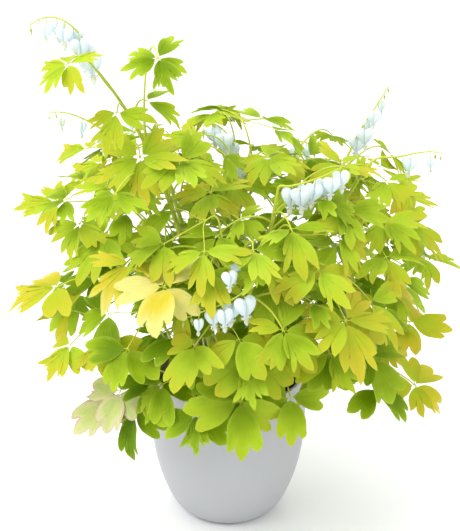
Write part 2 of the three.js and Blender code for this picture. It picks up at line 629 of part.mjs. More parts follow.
// A heart with its drop as one lens-shaped body, hanging from its stalk, which ends in the
// three corners of the notch.
function heartSolid({ on, notch, width, across, hang }, grow) {
  const face = across.clone().cross(hang);
  const place = ([x, z], depth) => along(notch, [across, x * width],
    [hang, (HEART.notch - z) * width], [face, depth * width]);
  const radius = PEDICEL.radius + grow;
  const swell = HEART.swell + grow / width;
  const ring = (centre) => [along(centre, [across, radius]), along(centre, [face, radius]),
    along(centre, [across, -radius])];
  const rim = [...HEART_HALF, [0, HEART.tip], ...HEART_HALF.slice().reverse().map(([x, z]) => [-x, z])];
  const grown = rim.map(([x, z]) => [x * (1 + 2 * grow / width), z]);
  const inner = [[HEART.lobe, 1], [[-HEART.lobe[0], HEART.lobe[1]], 1], [[0, HEART.waist], 0.8],
    [[0, HEART.drop], 0.4]];
  const corners = [...ring(on), ...ring(notch), ...grown.map((xz) => place(xz, 0)),
    ...inner.map(([xz, depth]) => place(xz, depth * swell)),
    ...inner.map(([xz, depth]) => place(xz, -depth * swell))];
  const [notchRight, notchFace, notchLeft] = [3, 4, 5];
  const r = 6;                    // the rim's right half, its tip and its left half
  const tip = r + HEART_HALF.length;
  const l = r + rim.length - 1;
  const front = l + 1;
  const back = front + inner.length;
  const side = (first) => {
    const [right, left, waist, drop] = [first, first + 1, first + 2, first + 3];
    return [
      [right, notchRight, r], [right, r, r + 1], [right, r + 1, r + 2], [right, r + 2, r + 3],
      [right, r + 3, waist], [waist, r + 3, r + 4], [waist, r + 4, drop], [drop, r + 4, r + 5],
      [drop, r + 5, tip], [right, waist, left],
      [left, l, notchLeft], [left, l - 1, l], [left, l - 2, l - 1], [left, l - 3, l - 2],
      [left, waist, l - 3], [waist, l - 4, l - 3], [waist, drop, l - 4], [drop, l - 5, l - 4],
      [drop, tip, l - 5],
    ];
  };
  const facing = [...side(front), [front, notchFace, notchRight], [front, front + 1, notchFace],
    [front + 1, notchLeft, notchFace]];
  const behind = [...side(back), [back, back + 1, notchRight], [back + 1, notchLeft, notchRight]]
    .map(([a, b, c]) => [a, c, b]);
  const stalk = [[0, 3, 4], [0, 4, 1], [1, 4, 5], [1, 5, 2], [2, 5, 3], [2, 3, 0], [0, 1, 2]];
  return fromCorners(corners, [...facing, ...behind, ...stalk].flat());
}

// A closed bud on its stalk, with three sides.
function budSolid({ on, notch, bud, across, hang }, grow) {
  const face = across.clone().cross(hang);
  const ring = (centre, radius) => [0, 1, 2].map((k) => along(centre,
    [across, radius * Math.cos(2 * k * Math.PI / 3)], [face, radius * Math.sin(2 * k * Math.PI / 3)]));
  const radius = PEDICEL.radius + grow;
  const corners = [...ring(on, radius), ...ring(notch, radius),
    ...ring(along(notch, [hang, 0.45 * bud]), 0.27 * bud + grow), along(notch, [hang, bud + grow])];
  const triangles = [0, 1, 2];
  for (let k = 0; k < 3; k += 1) {
    const next = (k + 1) % 3;
    [0, 3].forEach((i) => triangles.push(i + k, i + next + 3, i + next, i + k, i + k + 3, i + next + 3));
    triangles.push(6 + k, 9, 6 + next);
  }
  return fromCorners(corners, triangles);
}

function planSpray(row, stem) {
  const onward = stem.getTangent(1);
  const foot = along(stem.getPoint(1), [onward, GAP]);
  const path = [along(foot, [onward, 2]), point(row.out), point(row.over), point(row.tip)];
  const curve = new THREE.CubicBezierCurve3(...path);
  const heartsEnd = row.buds > 0 ? SPRAY.ends : SPRAY.bareEnds;
  const flowers = [];
  for (let i = 0; i < row.hearts; i += 1) {
    const share = i / (row.hearts - 1);
    const at = lerp(row.begins ?? SPRAY.begins, heartsEnd, share);
    flowers.push({ at, width: lerp(row.first, row.last, share) });
  }
  for (let i = 0; i < row.buds; i += 1) {
    const bud = lerp(...SPRAY.budSizes, i / row.buds) * row.last;
    flowers.push({ at: lerp(heartsEnd, 1, (i + 1) / row.buds), bud });
  }
  flowers.forEach((flower, i) => {
    const tangent = curve.getTangent(flower.at).setZ(0).normalize();
    const sway = new THREE.Quaternion().setFromAxisAngle(UP, rad(SPRAY.sway * vary(i + row.hearts, 5)));
    const aside = tangent.clone().cross(UP).multiplyScalar(i % 2 ? 1 : -1);
    const lean = along(UP.clone().negate(), [tangent, SPRAY.lean * vary(i, 6)]).normalize();
    const drop = flower.bud ? [PEDICEL.budDrop, PEDICEL.budAside] : [PEDICEL.drop, PEDICEL.aside];
    flower.on = curve.getPoint(flower.at);
    flower.hang = lean;
    flower.across = along(tangent, [lean, -tangent.dot(lean)]).normalize().applyQuaternion(sway);
    flower.across = along(flower.across, [lean, -flower.across.dot(lean)]).normalize();
    flower.notch = along(flower.on, [lean, drop[0]], [aside, drop[1]]);
  });
  return { foot, path, flowers };
}

function spraySolids(spray, grow) {
  const path = [spray.foot, ...bezier(...spray.path, PEDUNCLE.steps)];
  const parts = [tube(path, PEDUNCLE.low + grow, PEDUNCLE.high + grow, PEDUNCLE.sides)];
  spray.flowers.forEach((flower) => {
    parts.push(flower.bud ? budSolid(flower, grow) : heartSolid(flower, grow));
  });
  return parts;
}

// ---- settling: stalks, then leaflets, each turned until it is clear of the rest ---------

const placed = [];

// Takes up space: for all but its own kin, or for its kin alone.
function occupy(solid, traits) {
  const { min, max } = solid.boundingBox();
  placed.push({ solid, min, max, ...traits });
}

function isClear(solid, matters) {
  const { min, max } = solid.boundingBox();
  return !placed.some((other) => matters(other)
    && [0, 1, 2].every((k) => other.min[k] < max[k] && other.max[k] > min[k])
    && !solid.intersect(other.solid).isEmpty());
}

const HALF_CLEAR = BLADE.thick / 2 + GAP / 2 + 0.1;

// The small flat space round a hub where leaflets share their roots.
function hubSpace(group, size) {
  const across = acrossGroup(group);
  const radius = 0.13 * BLADE.length * size;
  const [first, ...rim] = Array.from({ length: 6 }, (_, k) => ({
    at: along(group.at, [group.heading, radius * Math.cos(k * Math.PI / 3)],
      [across, radius * Math.sin(k * Math.PI / 3)]),
    normal: group.normal,
  }));
  return plate(first.at, first.normal, rim, HALF_CLEAR);
}

// What a stalk tries, as bows sideways and upward, and a leaflet, as pitch, roll and scale.
const BOWS = [[0, 0], ...[12, 24, 38].flatMap((out) => [[out, 0], [-out, 0], [0, out]])];

const TURNS = [1, 0.85, 0.7].flatMap((scale) => [0, 12, -12, 25, -25, 40, -40].flatMap((pitch) => (
  [0, 16, -16, 32, -32].map((roll) => [pitch, roll, scale]))));
const cost = ([pitch, roll, scale]) => Math.abs(pitch) + 0.8 * Math.abs(roll) + 120 * (1 - scale);
TURNS.sort((a, b) => cost(a) - cost(b));

const nodes = new Map();          // name -> { colour, parts }
const shootCurves = new Map();
const roots = [];
const fronds = [];

SHOOTS.forEach((shoot) => {
  const foot = new THREE.Vector3(...shoot.root, CROWN);
  const curve = [foot, point(shoot.rise), point(shoot.bend), point(shoot.end)];
  const path = [along(foot, [UP, -ROOT_DEPTH]), ...bezier(...curve, STEM.steps)];
  shootCurves.set(shoot.name, new THREE.CubicBezierCurve3(...curve));
  nodes.set(shoot.name, { colour: 'lime', parts: [tube(path, STEM.low, STEM.high, STEM.sides)] });
  occupy(tube(path, STEM.low + 3 * GAP, STEM.high + 2 * GAP, STEM.sides), { node: shoot.name });
  roots.push({ at: shoot.root, radius: STEM.low });
  shoot.fronds.forEach((row) => {
    const stem = shootCurves.get(shoot.name);
    const leaving = stem.getTangent(row.at).lerp(point(row.tip).sub(stem.getPoint(row.at)).normalize(), 0.5);
    fronds.push({ ...planFrond(row, stem.getPoint(row.at), leaving.normalize()), node: shoot.name });
  });
});

FRONDS.forEach((row) => {
  const foot = new THREE.Vector3(...row.root, CROWN);
  nodes.set(row.name, { colour: row.colour, parts: [] });
  fronds.push({ ...planFrond(row, foot, along(UP, [point(row.tip).setZ(0).normalize(), 0.25]).normalize()),
    node: row.name, isBasal: true });
  roots.push({ at: row.root, radius: PETIOLE.low });
});

SPRAYS.forEach((row) => {
  const spray = planSpray(row, shootCurves.get(row.shoot));
  nodes.set(row.name, { colour: 'white', parts: spraySolids(spray, 0) });
  spraySolids(spray, GAP + 0.1).forEach((solid) => occupy(solid, { node: row.name }));
});

const pot = potSolid();
occupy(pot, { node: 'cover_pot' });

const ROOM_SIDES = 5;
const roomFor = (radius) => (radius + GAP) / Math.cos(Math.PI / ROOM_SIDES);

fronds.forEach((frond) => {
  const thick = [roomFor(PETIOLE.low), roomFor(PETIOLE.high), ROOM_SIDES];
  const bow = BOWS.find((tried) => isClear(tube(petiolePath(frond, tried), ...thick),
    (other) => other.node !== frond.node)) ?? BOWS[0];
  const stalk = petiolePath(frond, bow);
  frond.stalks = frond.groups.map((group) => (
    group.at === frond.tip ? stalk : armPath(frond, stalk, group)));
  frond.stalks.forEach((path) => occupy(tube(path, ...thick), { node: frond.node, stalkOf: frond }));
  frond.groups.forEach((group) => occupy(hubSpace(group, frond.row.size),
    { node: frond.node, stalkOf: frond }));
});

let leafNumber = 0;

function settle(plan, frond, group) {
  for (const turn of TURNS) {
    const leaf = turnedLeaf(plan, turn);
    const outer = along(leaf.root, [leaf.along, 0.25 * leaf.length]);
    const whole = plate(leaf.root, leaf.normal, leafRim(leaf), HALF_CLEAR);
    const blade = plate(outer, leaf.normal, leafRim(leaf), HALF_CLEAR);
    const isKin = (other) => other.stalkOf === frond || other.onlyFor === group;
    const isStranger = (other) => !isKin(other) && other.notFor !== group && !other.onlyFor;
    if (isClear(whole, isStranger) && isClear(blade, isKin)) {
      occupy(whole, { node: frond.node, notFor: group });
      occupy(blade, { node: frond.node, onlyFor: group });
      return leaf;
    }
  }
  return null;
}

fronds.forEach((frond) => {
  frond.groups.forEach((group) => {
    const plans = planLeaflets(group, frond.row.leaflets, frond.row.size, leafNumber);
    leafNumber += plans.length;
    group.leaflets = plans.map((plan) => settle(plan, frond, group)).filter((leaf) => leaf !== null);
  });
  nodes.get(frond.node).parts.push(frondSolid(frond));
});

// ---- the whole plant -------------------------------------------------------------------

const plant = new THREE.Group();
plant.add(toMesh(pot, 'cover_pot', 'pot', 0.55));
plant.add(toMesh(linerSolid(), 'nursery_pot', 'liner', 0.6));
plant.add(toMesh(soilSolid(roots), 'potting_soil', 'soil', 0.95));
nodes.forEach(({ colour, parts }, name) => {
  plant.add(toMesh(wasm.Manifold.union(parts), name, colour, 0.55));
});

export default plant;
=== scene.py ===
"""A bleeding heart plant with golden leaves and white hearts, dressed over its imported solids.

Metres, +Z up, with the plant's front along -Y. The growth tables are in millimetres.
"""

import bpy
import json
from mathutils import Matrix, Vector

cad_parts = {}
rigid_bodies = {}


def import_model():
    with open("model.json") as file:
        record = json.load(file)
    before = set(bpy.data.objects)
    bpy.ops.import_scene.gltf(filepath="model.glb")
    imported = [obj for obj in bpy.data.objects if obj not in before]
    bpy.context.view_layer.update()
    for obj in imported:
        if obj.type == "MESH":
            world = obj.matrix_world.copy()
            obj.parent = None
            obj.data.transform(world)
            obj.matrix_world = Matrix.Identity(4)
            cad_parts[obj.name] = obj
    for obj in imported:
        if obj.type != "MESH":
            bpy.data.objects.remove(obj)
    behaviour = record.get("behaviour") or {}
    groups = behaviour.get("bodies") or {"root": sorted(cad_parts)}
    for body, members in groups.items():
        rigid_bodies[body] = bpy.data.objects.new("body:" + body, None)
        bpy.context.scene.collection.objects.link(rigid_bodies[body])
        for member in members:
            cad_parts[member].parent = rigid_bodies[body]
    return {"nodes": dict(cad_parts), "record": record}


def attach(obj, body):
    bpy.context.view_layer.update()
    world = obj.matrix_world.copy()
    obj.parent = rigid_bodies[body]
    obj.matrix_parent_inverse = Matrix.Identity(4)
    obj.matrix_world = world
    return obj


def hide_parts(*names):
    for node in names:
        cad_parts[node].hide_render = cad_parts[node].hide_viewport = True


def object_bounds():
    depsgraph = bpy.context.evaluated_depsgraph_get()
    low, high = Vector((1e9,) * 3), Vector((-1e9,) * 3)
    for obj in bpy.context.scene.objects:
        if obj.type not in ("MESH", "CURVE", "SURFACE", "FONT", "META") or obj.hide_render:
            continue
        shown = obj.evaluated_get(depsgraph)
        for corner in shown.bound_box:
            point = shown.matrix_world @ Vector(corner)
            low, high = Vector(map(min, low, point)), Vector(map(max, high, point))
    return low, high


bl_info = {
    "name": "Potted bleeding heart",
    "version": (1, 0, 0),
    "blender": (4, 5, 0),
    "location": "3D View > Sidebar > Plant",
    "description": "Grows a bleeding heart with golden leaves and white hearts in its pot",
    "category": "Add Mesh",
}

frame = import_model()
CAD_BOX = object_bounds()

import json
from collections import namedtuple
from dataclasses import dataclass, field, replace
from functools import cache
from math import atan2, ceil, cos, hypot, pi, radians, sin

import bmesh
import bpy
from bpy.props import FloatProperty, FloatVectorProperty, IntProperty, PointerProperty
from bpy.types import Operator, Panel, PropertyGroup
from mathutils import Matrix, Quaternion, Vector
from mathutils.geometry import intersect_point_line
from mathutils.kdtree import KDTree

MM = 0.001
UP = Vector((0, 0, 1))
FRONT = Vector((0, -1, 0))
BODY = "root"

# ---- how the plant grows: driving dimensions, in millimetres -------------------------------

CROWN = 181             # where stems and stalks leave the soil
ROOT_DEPTH = 22
GAP = 0.35

Stalk = namedtuple("Stalk", "low high")
STEM = Stalk(4.1, 1.6)
PETIOLE = Stalk(1.5, 0.85)
PEDUNCLE = Stalk(1.5, 0.7)
PEDICEL_RADIUS = 0.42
SOLID_PETIOLE = Stalk(1.8, 1.1)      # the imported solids' own stalks, to find their way
LEAVE, ARRIVE, LIFT = 0.42, 0.34, 0.1     # a stalk's handles, as shares of its reach
CROWN_SPLAY = 0.25      # how far a frond leans outward where it leaves the soil

ARM_LENGTH, SIDE_ARM, ARM_TURN, ARM_DIP = 60, 0.9, 62, 0.25
BLADE_LENGTH, BLADE_THICK, FOLD, CURL, SIDE_BLADE = 64, 0.8, 0.2, 0.2, 0.9
LIGHT_UP, LIGHT_AHEAD, LIGHT_FRONT = 0.8, 0.45, 0.25
SPREAD_YAW, SPREAD_LENGTH, SPREAD_PITCH, SPREAD_ROLL = 11, 0.12, 14, 20
LEAF_YAWS = {3: (-72, 0, 72), 5: (-128, -65, 0, 65, 128)}
END_CORNERS = ((0.82, -0.36), (0.62, -0.13), (1.0, 0.0), (0.62, 0.13), (0.82, 0.36))
SIDE_CORNERS = ((0.93, -0.18), (0.64, 0.03), (0.84, 0.32), (0.46, 0.21))

SPRAY_BEGINS, SPRAY_ENDS, BARE_SPRAY_ENDS = 0.28, 0.84, 0.98
SWAY, LEAN = 22, 0.14
BUD_SIZES = (0.6, 0.4)
HEART_DROP, HEART_ASIDE, BUD_DROP, BUD_ASIDE = 8, 4, 3.6, 1.5

# A frond starts at a share of its shoot's stem, or at its root on the soil.
FrondRow = namedtuple("FrondRow", "start tip groups leaflets size droop")
ShootRow = namedtuple("ShootRow", "root rise bend end fronds")
SprayRow = namedtuple("SprayRow", "shoot out over tip hearts buds first last begins",
                      defaults=(SPRAY_BEGINS,))


def shoot(root, rise, bend, end, *fronds):
    return ShootRow(root, rise, bend, end, [FrondRow(*frond) for frond in fronds])


SHOOTS = {
    "shoot_tall_left": shoot((-6, -14), (-45, -60, 330), (-55, -85, 505), (-147, -85, 622),
        (0.93, (-176, -125, 642), 1, 5, 0.74, 35),
        (0.76, (-76, -140, 652), 1, 5, 0.78, 35),
        (0.84, (-93, -88, 589), 1, 3, 0.75, 15),
        (0.88, (-124, -120, 585), 1, 3, 0.80, 50),
        (0.60, (-53, -120, 528), 1, 5, 1.00, 25),
        (0.45, (-96, -78, 480), 1, 3, 1.00, 20),
    ),
    "shoot_left": shoot((-30, -2), (-50, -5, 300), (-95, -30, 430), (-129, -40, 523),
        (0.85, (-100, -114, 530), 1, 5, 1.05, 35),
        (0.88, (-172, 0, 503), 1, 3, 0.90, 10),
        (0.60, (-210, -25, 442), 3, 3, 0.90, 2),
        (0.52, (-150, -85, 420), 1, 5, 1.00, 30),
        (0.45, (-167, 20, 401), 1, 3, 1.05, 30),
    ),
    "shoot_top": shoot((4, 20), (5, 28, 300), (10, 20, 400), (21, 20, 458),
        (0.85, (43, 62, 522), 3, 3, 0.85, 12),
        (0.80, (-17, 50, 533), 1, 5, 0.90, 15),
        (0.92, (49, -22, 499), 1, 5, 0.95, 15),
        (0.70, (-20, -90, 478), 1, 5, 0.95, 25),
        (0.78, (101, 15, 487), 1, 3, 0.95, 10),
        (0.55, (5, -35, 470), 1, 3, 1.10, 5),
        (0.75, (-38, 0, 519), 1, 3, 0.80, 4),
    ),
    "shoot_centre": shoot((16, -16), (30, -50, 300), (45, -100, 400), (58, -110, 489),
        (0.75, (102, -182, 418), 3, 3, 1.00, 30),
        (0.88, (72, -155, 458), 1, 3, 0.95, 20),
        (0.80, (139, -100, 462), 1, 5, 1.00, 20),
        (0.60, (48, -170, 398), 1, 3, 1.00, 35),
        (0.62, (165, -155, 368), 1, 3, 1.00, 35),
    ),
    "shoot_right": shoot((34, 16), (60, 25, 320), (120, 50, 400), (155, 60, 479),
        (0.85, (141, 5, 480), 1, 5, 0.90, 10),
        (0.72, (218, 40, 430), 3, 3, 0.90, 20),
        (0.62, (188, -60, 430), 1, 3, 1.00, 25),
        (0.80, (195, -5, 463), 1, 3, 0.90, 12),
    ),
    "shoot_far_right": shoot((38, -8), (70, -5, 300), (130, 0, 410), (169, 0, 475),
        (0.70, (249, 5, 357), 1, 5, 0.95, 20),
        (0.75, (188, -98, 400), 3, 3, 1.00, 30),
    ),
    "shoot_front": shoot((2, -36), (5, -60, 300), (20, -170, 340), (28, -200, 417),
        (0.86, (62, -218, 361), 1, 5, 1.00, 45),
        (0.70, (-37, -205, 336), 3, 3, 0.90, 40),
    ),
    "shoot_middle": shoot((-16, -34), (-10, -50, 310), (-5, -130, 360), (6, -150, 432),
        (0.85, (-72, -160, 442), 3, 3, 0.95, 25),
        (0.90, (28, -188, 446), 1, 3, 0.95, 25),
        (0.65, (-20, -182, 420), 1, 3, 1.00, 35),
    ),
    "shoot_back_left": shoot((-20, 34), (-30, 50, 320), (-80, 110, 400), (-92, 130, 482),
        (0.80, (-168, 130, 440), 3, 3, 0.95, 25),
        (0.85, (-70, 190, 430), 1, 3, 1.10, 30),
        (0.93, (-117, 70, 502), 1, 3, 0.90, 15),
        (0.60, (-40, 90, 440), 1, 3, 1.10, 15),
    ),
    "shoot_back_right": shoot((26, 38), (40, 60, 320), (80, 110, 400), (92, 130, 470),
        (0.80, (168, 140, 405), 3, 3, 0.95, 30),
        (0.85, (51, 190, 427), 1, 3, 1.10, 25),
        (0.92, (89, 80, 460), 1, 3, 0.90, 10),
        (0.60, (119, 52, 428), 1, 3, 1.10, 15),
    ),
}

FRONDS = {name: FrondRow(*row) for name, *row in (
    ("frond_yellow", (-22, -52), (-71, -200, 406), 1, 5, 1.05, 30),
    ("frond_amber", (-36, -36), (-111, -158, 417), 1, 3, 1.00, 25),
    ("frond_left_high", (-48, -14), (-208, -66, 347), 1, 3, 1.10, 12),
    ("frond_left_low", (-56, -26), (-190, -114, 292), 3, 3, 0.86, 35),
    ("frond_left_front", (-42, -50), (-117, -165, 312), 3, 3, 0.95, 35),
    ("frond_withered", (-66, -40), (-145, -80, 197), 1, 3, 1.00, 15),
    ("frond_pale_left", (-54, -54), (-130, -136, 240), 1, 3, 0.85, 45),
    ("frond_hanging", (-40, -66), (-113, -148, 219), 1, 3, 1.00, 70),
    ("frond_front_left", (-20, -72), (-37, -192, 241), 3, 3, 0.90, 50),
    ("frond_front", (12, -56), (14, -207, 265), 1, 5, 1.15, 60),
    ("frond_rim_left", (-46, -36), (-84, -150, 264), 1, 3, 1.00, 50),
    ("frond_rim_right", (16, -74), (48, -170, 296), 1, 3, 1.00, 50),
    ("frond_front_high", (7, -25), (22, -206, 318), 1, 5, 1.05, 50),
    ("frond_front_right", (28, -70), (73, -187, 260), 3, 3, 0.88, 50),
    ("frond_gold", (30, -40), (134, -195, 362), 1, 5, 1.10, 40),
    ("frond_right_front", (46, -52), (118, -186, 316), 3, 3, 0.95, 38),
    ("frond_right_pale", (60, -40), (170, -128, 282), 3, 3, 0.95, 35),
    ("frond_right_dark", (50, -28), (180, -126, 239), 1, 3, 0.90, 35),
    ("frond_right_low", (68, -14), (237, -62, 209), 1, 5, 0.95, 25),
    ("frond_right_high", (54, 2), (228, -48, 291), 3, 3, 0.90, 12),
    ("frond_left_back", (-60, 10), (-216, 67, 290), 3, 3, 0.95, 30),
    ("frond_back_left", (-38, 52), (-140, 190, 306), 3, 3, 1.00, 40),
    ("frond_back", (0, 66), (9, 232, 303), 3, 3, 1.00, 40),
    ("frond_back_right", (40, 58), (148, 188, 266), 3, 3, 1.00, 45),
    ("frond_right_back", (62, 26), (236, 100, 280), 3, 3, 0.95, 35),
)}

SPRAYS = {f"flowers_{name}": SprayRow(f"shoot_{name}", *row) for name, *row in (
    ("tall_left", (-149, -85, 643), (-179, -85, 708), (-221, -85, 676), 7, 2, 19, 13),
    ("left", (-152, -42, 542), (-181, -42, 567), (-211, -42, 561), 3, 2, 15, 9),
    ("top", (16, 18, 490), (-6, 10, 545), (-30, 5, 530), 4, 1, 20, 16),
    ("centre", (75, -114, 494), (104, -114, 502), (131, -112, 517), 7, 0, 18, 15),
    ("right", (165, 60, 510), (185, 60, 534), (200, 60, 565), 5, 2, 18, 11),
    ("far_right", (190, 0, 484), (235, 0, 505), (262, 0, 497), 2, 2, 15, 12, 0.62),
    ("front", (21, -216, 397), (-13, -222, 393), (-49, -220, 376), 5, 2, 19, 12),
    ("middle", (14, -165, 442), (21, -200, 441), (-2, -214, 437), 3, 0, 17, 14),
    ("back_left", (-96, 140, 510), (-115, 165, 500), (-138, 180, 490), 3, 1, 17, 12),
    ("back_right", (93, 142, 461), (105, 170, 465), (118, 200, 435), 3, 1, 17, 12),
)}

# How ripe each frond's leaves are: 0 is deep green, 0.5 lime and 1 cream yellow. The packed
# solid's slot tells it, unless the piece has a value of its own.
RIPE_BY_SLOT = {
    "leaf_green": 0.34, "leaf_lime": 0.47, "leaf_olive": 0.64, "leaf_yellow": 0.88,
    "leaf_withered": 0.5,
}
RIPE_BY_NODE = {
    "shoot_tall_left": 0.36, "shoot_far_right": 0.53, "frond_yellow": 1.04, "frond_amber": 0.80,
    "frond_right_pale": 0.46, "frond_gold": 0.62, "frond_right_high": 0.72, "frond_right_low": 0.86,
    "frond_right_front": 0.55, "frond_front": 0.62, "frond_front_left": 0.45,
    "frond_front_right": 0.47, "frond_rim_left": 0.42, "frond_rim_right": 0.38,
    "frond_left_low": 0.64, "frond_left_front": 0.38,
}
# The small leaves inside the plant sit low on the leaf ramp: painted shade, darker green than the
# fronds outside.
INNER_RIPE_WITH_PAINTED_SHADE = 0.33       # for the small leaves inside the plant
DRY_FRONDS = ("frond_withered", "frond_pale_left")      # these wear the dried colours instead

# What height and distance from the middle add to a leaf's ripeness, and how much it varies: partly
# ripening, partly painted light on the top and outside and painted shade low and inside.
RIPE_AND_PAINTED_LIGHT_UP, RIPE_AND_PAINTED_LIGHT_OUT, RIPE_VARIES, FROND_RIPE_VARIES = 0.32, 0.08, 0.09, 0.10
MIDDLE_HEIGHT, HEIGHT_SPAN, HEIGHT_MOST, MIDDLE_RADIUS = 380, 300, 0.22, 150

# Small leaves inside the plant: how many are tried on each shoot and from the crown.
SHOOT_INNER, CROWN_INNER = 14, 60
INNER_NUMBERS = 1000    # their leaflets are numbered from here
INNER_LEAFLETS, LEAST_LEAFLETS = 3, 2   # tried on each, and kept only from so many up
INNER_STARTS = (0.32, 0.95)             # as shares of the shoot's stem
INNER_REACH = (55, 105)
# The middle of what varies, and how far it goes to either side.
SHOOT_RISE, SHOOT_SIZE, SHOOT_DROOP = (12, 18), (0.8, 0.15), (25, 15)
CROWN_REACH, CROWN_HEIGHT, CROWN_ROOT = (125, 60), (275, 55), (46, 18)
CROWN_SIZE, CROWN_DROOP = (0.9, 0.12), (40, 12)
INNER_CLEAR = 30        # least distance between the middles of two leaf groups
LEAFLET_CLEAR = 5       # least distance between two leaflets' sampled points
INNER_MARGIN = 70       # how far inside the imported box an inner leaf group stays
INNER_TOP = 545         # and how high it may be
GOLDEN_ANGLE = 137.508
NEXT_SHOOT_TURN = 47

# A leaflet stands on a short stalk of its own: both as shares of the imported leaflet's length.
LEAFLET_STALK, LEAFLET_SHARE = 0.07, 0.88
TOOTHED_ABOVE = 350     # leaves above are deeply cut, and most below are broad
LOW_CUT_EVERY = 5       # one in so many of the lower leaves is cut too
OLD_RIPENESS = 0.86     # leaves riper than this are broad at any height


def lerp(low, high, share):
    return low + (high - low) * share


class Trait:
    """What varies from piece to piece, each trait with a spread of its own."""

    YAW, LENGTH, PITCH, ROLL, FACING, LEAN, RIPENESS = range(1, 8)
    REACH, RISE, SIZE, DROOP = range(8, 12)
    CROWN_REACH, CROWN_HEIGHT, CROWN_ROOT, CROWN_SIZE, CROWN_DROOP = range(12, 17)
    CRUMB, WIDTH, BULK = range(17, 20)
    FROND_RIPENESS = DROOP


def vary(number, trait):
    """A fixed spread of values from -1 to 1, one for each numbered piece and each of its traits."""
    value = (number + 1) * 0.6180339887 + trait * 0.7548776662
    return 2 * (value % 1) - 1


def bezier(handles, share):
    p, q, r, s = handles
    rest = 1 - share
    return (p * rest ** 3 + q * 3 * rest * rest * share + r * 3 * rest * share * share
            + s * share ** 3)


def bezier_way(handles, share):
    p, q, r, s = handles
    rest = 1 - share
    way = (q - p) * rest * rest + (r - q) * 2 * rest * share + (s - r) * share * share
    return way.normalized()


def smooth_path(handles, steps):
    return [bezier(handles, i / steps) for i in range(steps + 1)]


def level(vector):
    return Vector((vector.x, vector.y, 0)).normalized()


def add_to_scene(name, data):
    made = bpy.data.objects.new(name, data)
    bpy.context.scene.collection.objects.link(made)
    return made


def new_mesh(name, places, edges, faces):
    mesh = bpy.data.meshes.new(name)
    mesh.from_pydata(places, edges, faces)
    return mesh


def add_attribute(mesh, name, values, kind="FLOAT"):
    if kind in ("QUATERNION", "FLOAT_VECTOR"):
        values = [number for value in values for number in value]
    data = mesh.attributes.new(name, kind, "POINT").data
    data.foreach_set("vector" if kind == "FLOAT_VECTOR" else "value", values)


def store(shell, mesh, outward=False):
    """Writes the faces under work to a mesh, turned outward where that is asked."""
    if outward:
        bmesh.ops.recalc_face_normals(shell, faces=shell.faces)
    shell.to_mesh(mesh)
    shell.free()
    return mesh


# ---- leaf groups, leaflets and their stalks ------------------------------------------------

@dataclass
class Leaflet:
    root: Vector
    along: Vector
    across: Vector
    normal: Vector
    length: float
    side: int               # -1 to the right of the group's heading, 0 on it, 1 to the left
    ripe: float = 0.5

    def point(self, u, v):
        rise = FOLD * abs(v) - CURL * u * u
        return self.root + (self.along * u + self.across * v + self.normal * rise) * self.length

    def corners(self):
        if self.side == 0:
            return END_CORNERS
        return tuple((u, v if self.side < 0 else -v) for u, v in SIDE_CORNERS)

    def turned(self, pitch, roll, scale):
        turn = Quaternion(self.across, radians(pitch)) @ Quaternion(self.along, radians(roll))
        return replace(self, along=turn @ self.along, across=turn @ self.across,
                       normal=turn @ self.normal, length=self.length * scale)


@dataclass
class Group:
    at: Vector
    heading: Vector
    normal: Vector
    leaflets: list = field(default_factory=list)


@dataclass
class Frond:
    row: FrondRow
    foot: Vector
    leaving: Vector
    ahead: Vector
    heading: Vector
    fork: Vector
    groups: list
    is_basal: bool
    bow: tuple = (0, 0)

    def handles(self, bow):
        """The four handles of the stalk's curve, bowed sideways and upward."""
        sideways, upward = bow
        reach = (self.fork - self.foot).length
        aside = UP.cross(self.ahead) * sideways + UP * upward
        leave = self.foot + self.leaving * (LEAVE * reach) + aside
        arrive = self.fork - self.heading * (ARRIVE * reach) + UP * (LIFT * reach) + aside
        return self.foot, leave, arrive, self.fork


def face_to_light(heading, ahead):
    light = UP * LIGHT_UP + ahead * LIGHT_AHEAD + FRONT * LIGHT_FRONT
    return (light - heading * light.dot(heading)).normalized()


def plan_frond(row, foot, leaving, is_basal):
    tip = Vector(row.tip)
    ahead = level(tip - foot)
    droop = radians(row.droop)
    heading = ahead * cos(droop) - UP * sin(droop)
    normal = face_to_light(heading, ahead)
    arm = ARM_LENGTH * row.size
    forks = row.groups > 1
    fork = tip - heading * arm if forks else tip
    groups = [Group(tip, heading, normal)]
    for side in (-1, 1) if forks else ():
        arm_heading = Quaternion(normal, radians(side * ARM_TURN)) @ heading
        lower = (arm_heading - UP * ARM_DIP).normalized()
        outward = (level(arm_heading) + ahead).normalized()
        groups.append(Group(fork + arm_heading * (SIDE_ARM * arm), lower,
                            face_to_light(lower, outward)))
    return Frond(row, foot, leaving, ahead, heading, fork, groups, is_basal)


def plan_leaflets(group, count, size, first_number):
    across = group.normal.cross(group.heading)
    leaflets = []
    for i, yaw in enumerate(LEAF_YAWS[count]):
        number = first_number + i
        turn = radians(yaw + SPREAD_YAW * vary(number, Trait.YAW))
        share = 1 if yaw == 0 else SIDE_BLADE
        flat = Leaflet(
            root=group.at,
            along=group.heading * cos(turn) + across * sin(turn),
            across=across * cos(turn) - group.heading * sin(turn),
            normal=group.normal,
            length=BLADE_LENGTH * size * share * (1 + SPREAD_LENGTH * vary(number, Trait.LENGTH)),
            side=(yaw > 0) - (yaw < 0),
        )
        pitch = SPREAD_PITCH * vary(number, Trait.PITCH)
        leaflets.append(flat.turned(pitch, SPREAD_ROLL * vary(number, Trait.ROLL), 1))
    return leaflets


def leave_stem(stem, row):
    """Where a frond leaves a stem, and the way it sets out."""
    foot = bezier(stem, row.start)
    towards = (Vector(row.tip) - foot).normalized()
    return foot, bezier_way(stem, row.start).lerp(towards, 0.5).normalized()


def leave_crown(row):
    tip = Vector(row.tip)
    return Vector((*row.start, CROWN)), (UP + level(tip) * CROWN_SPLAY).normalized()


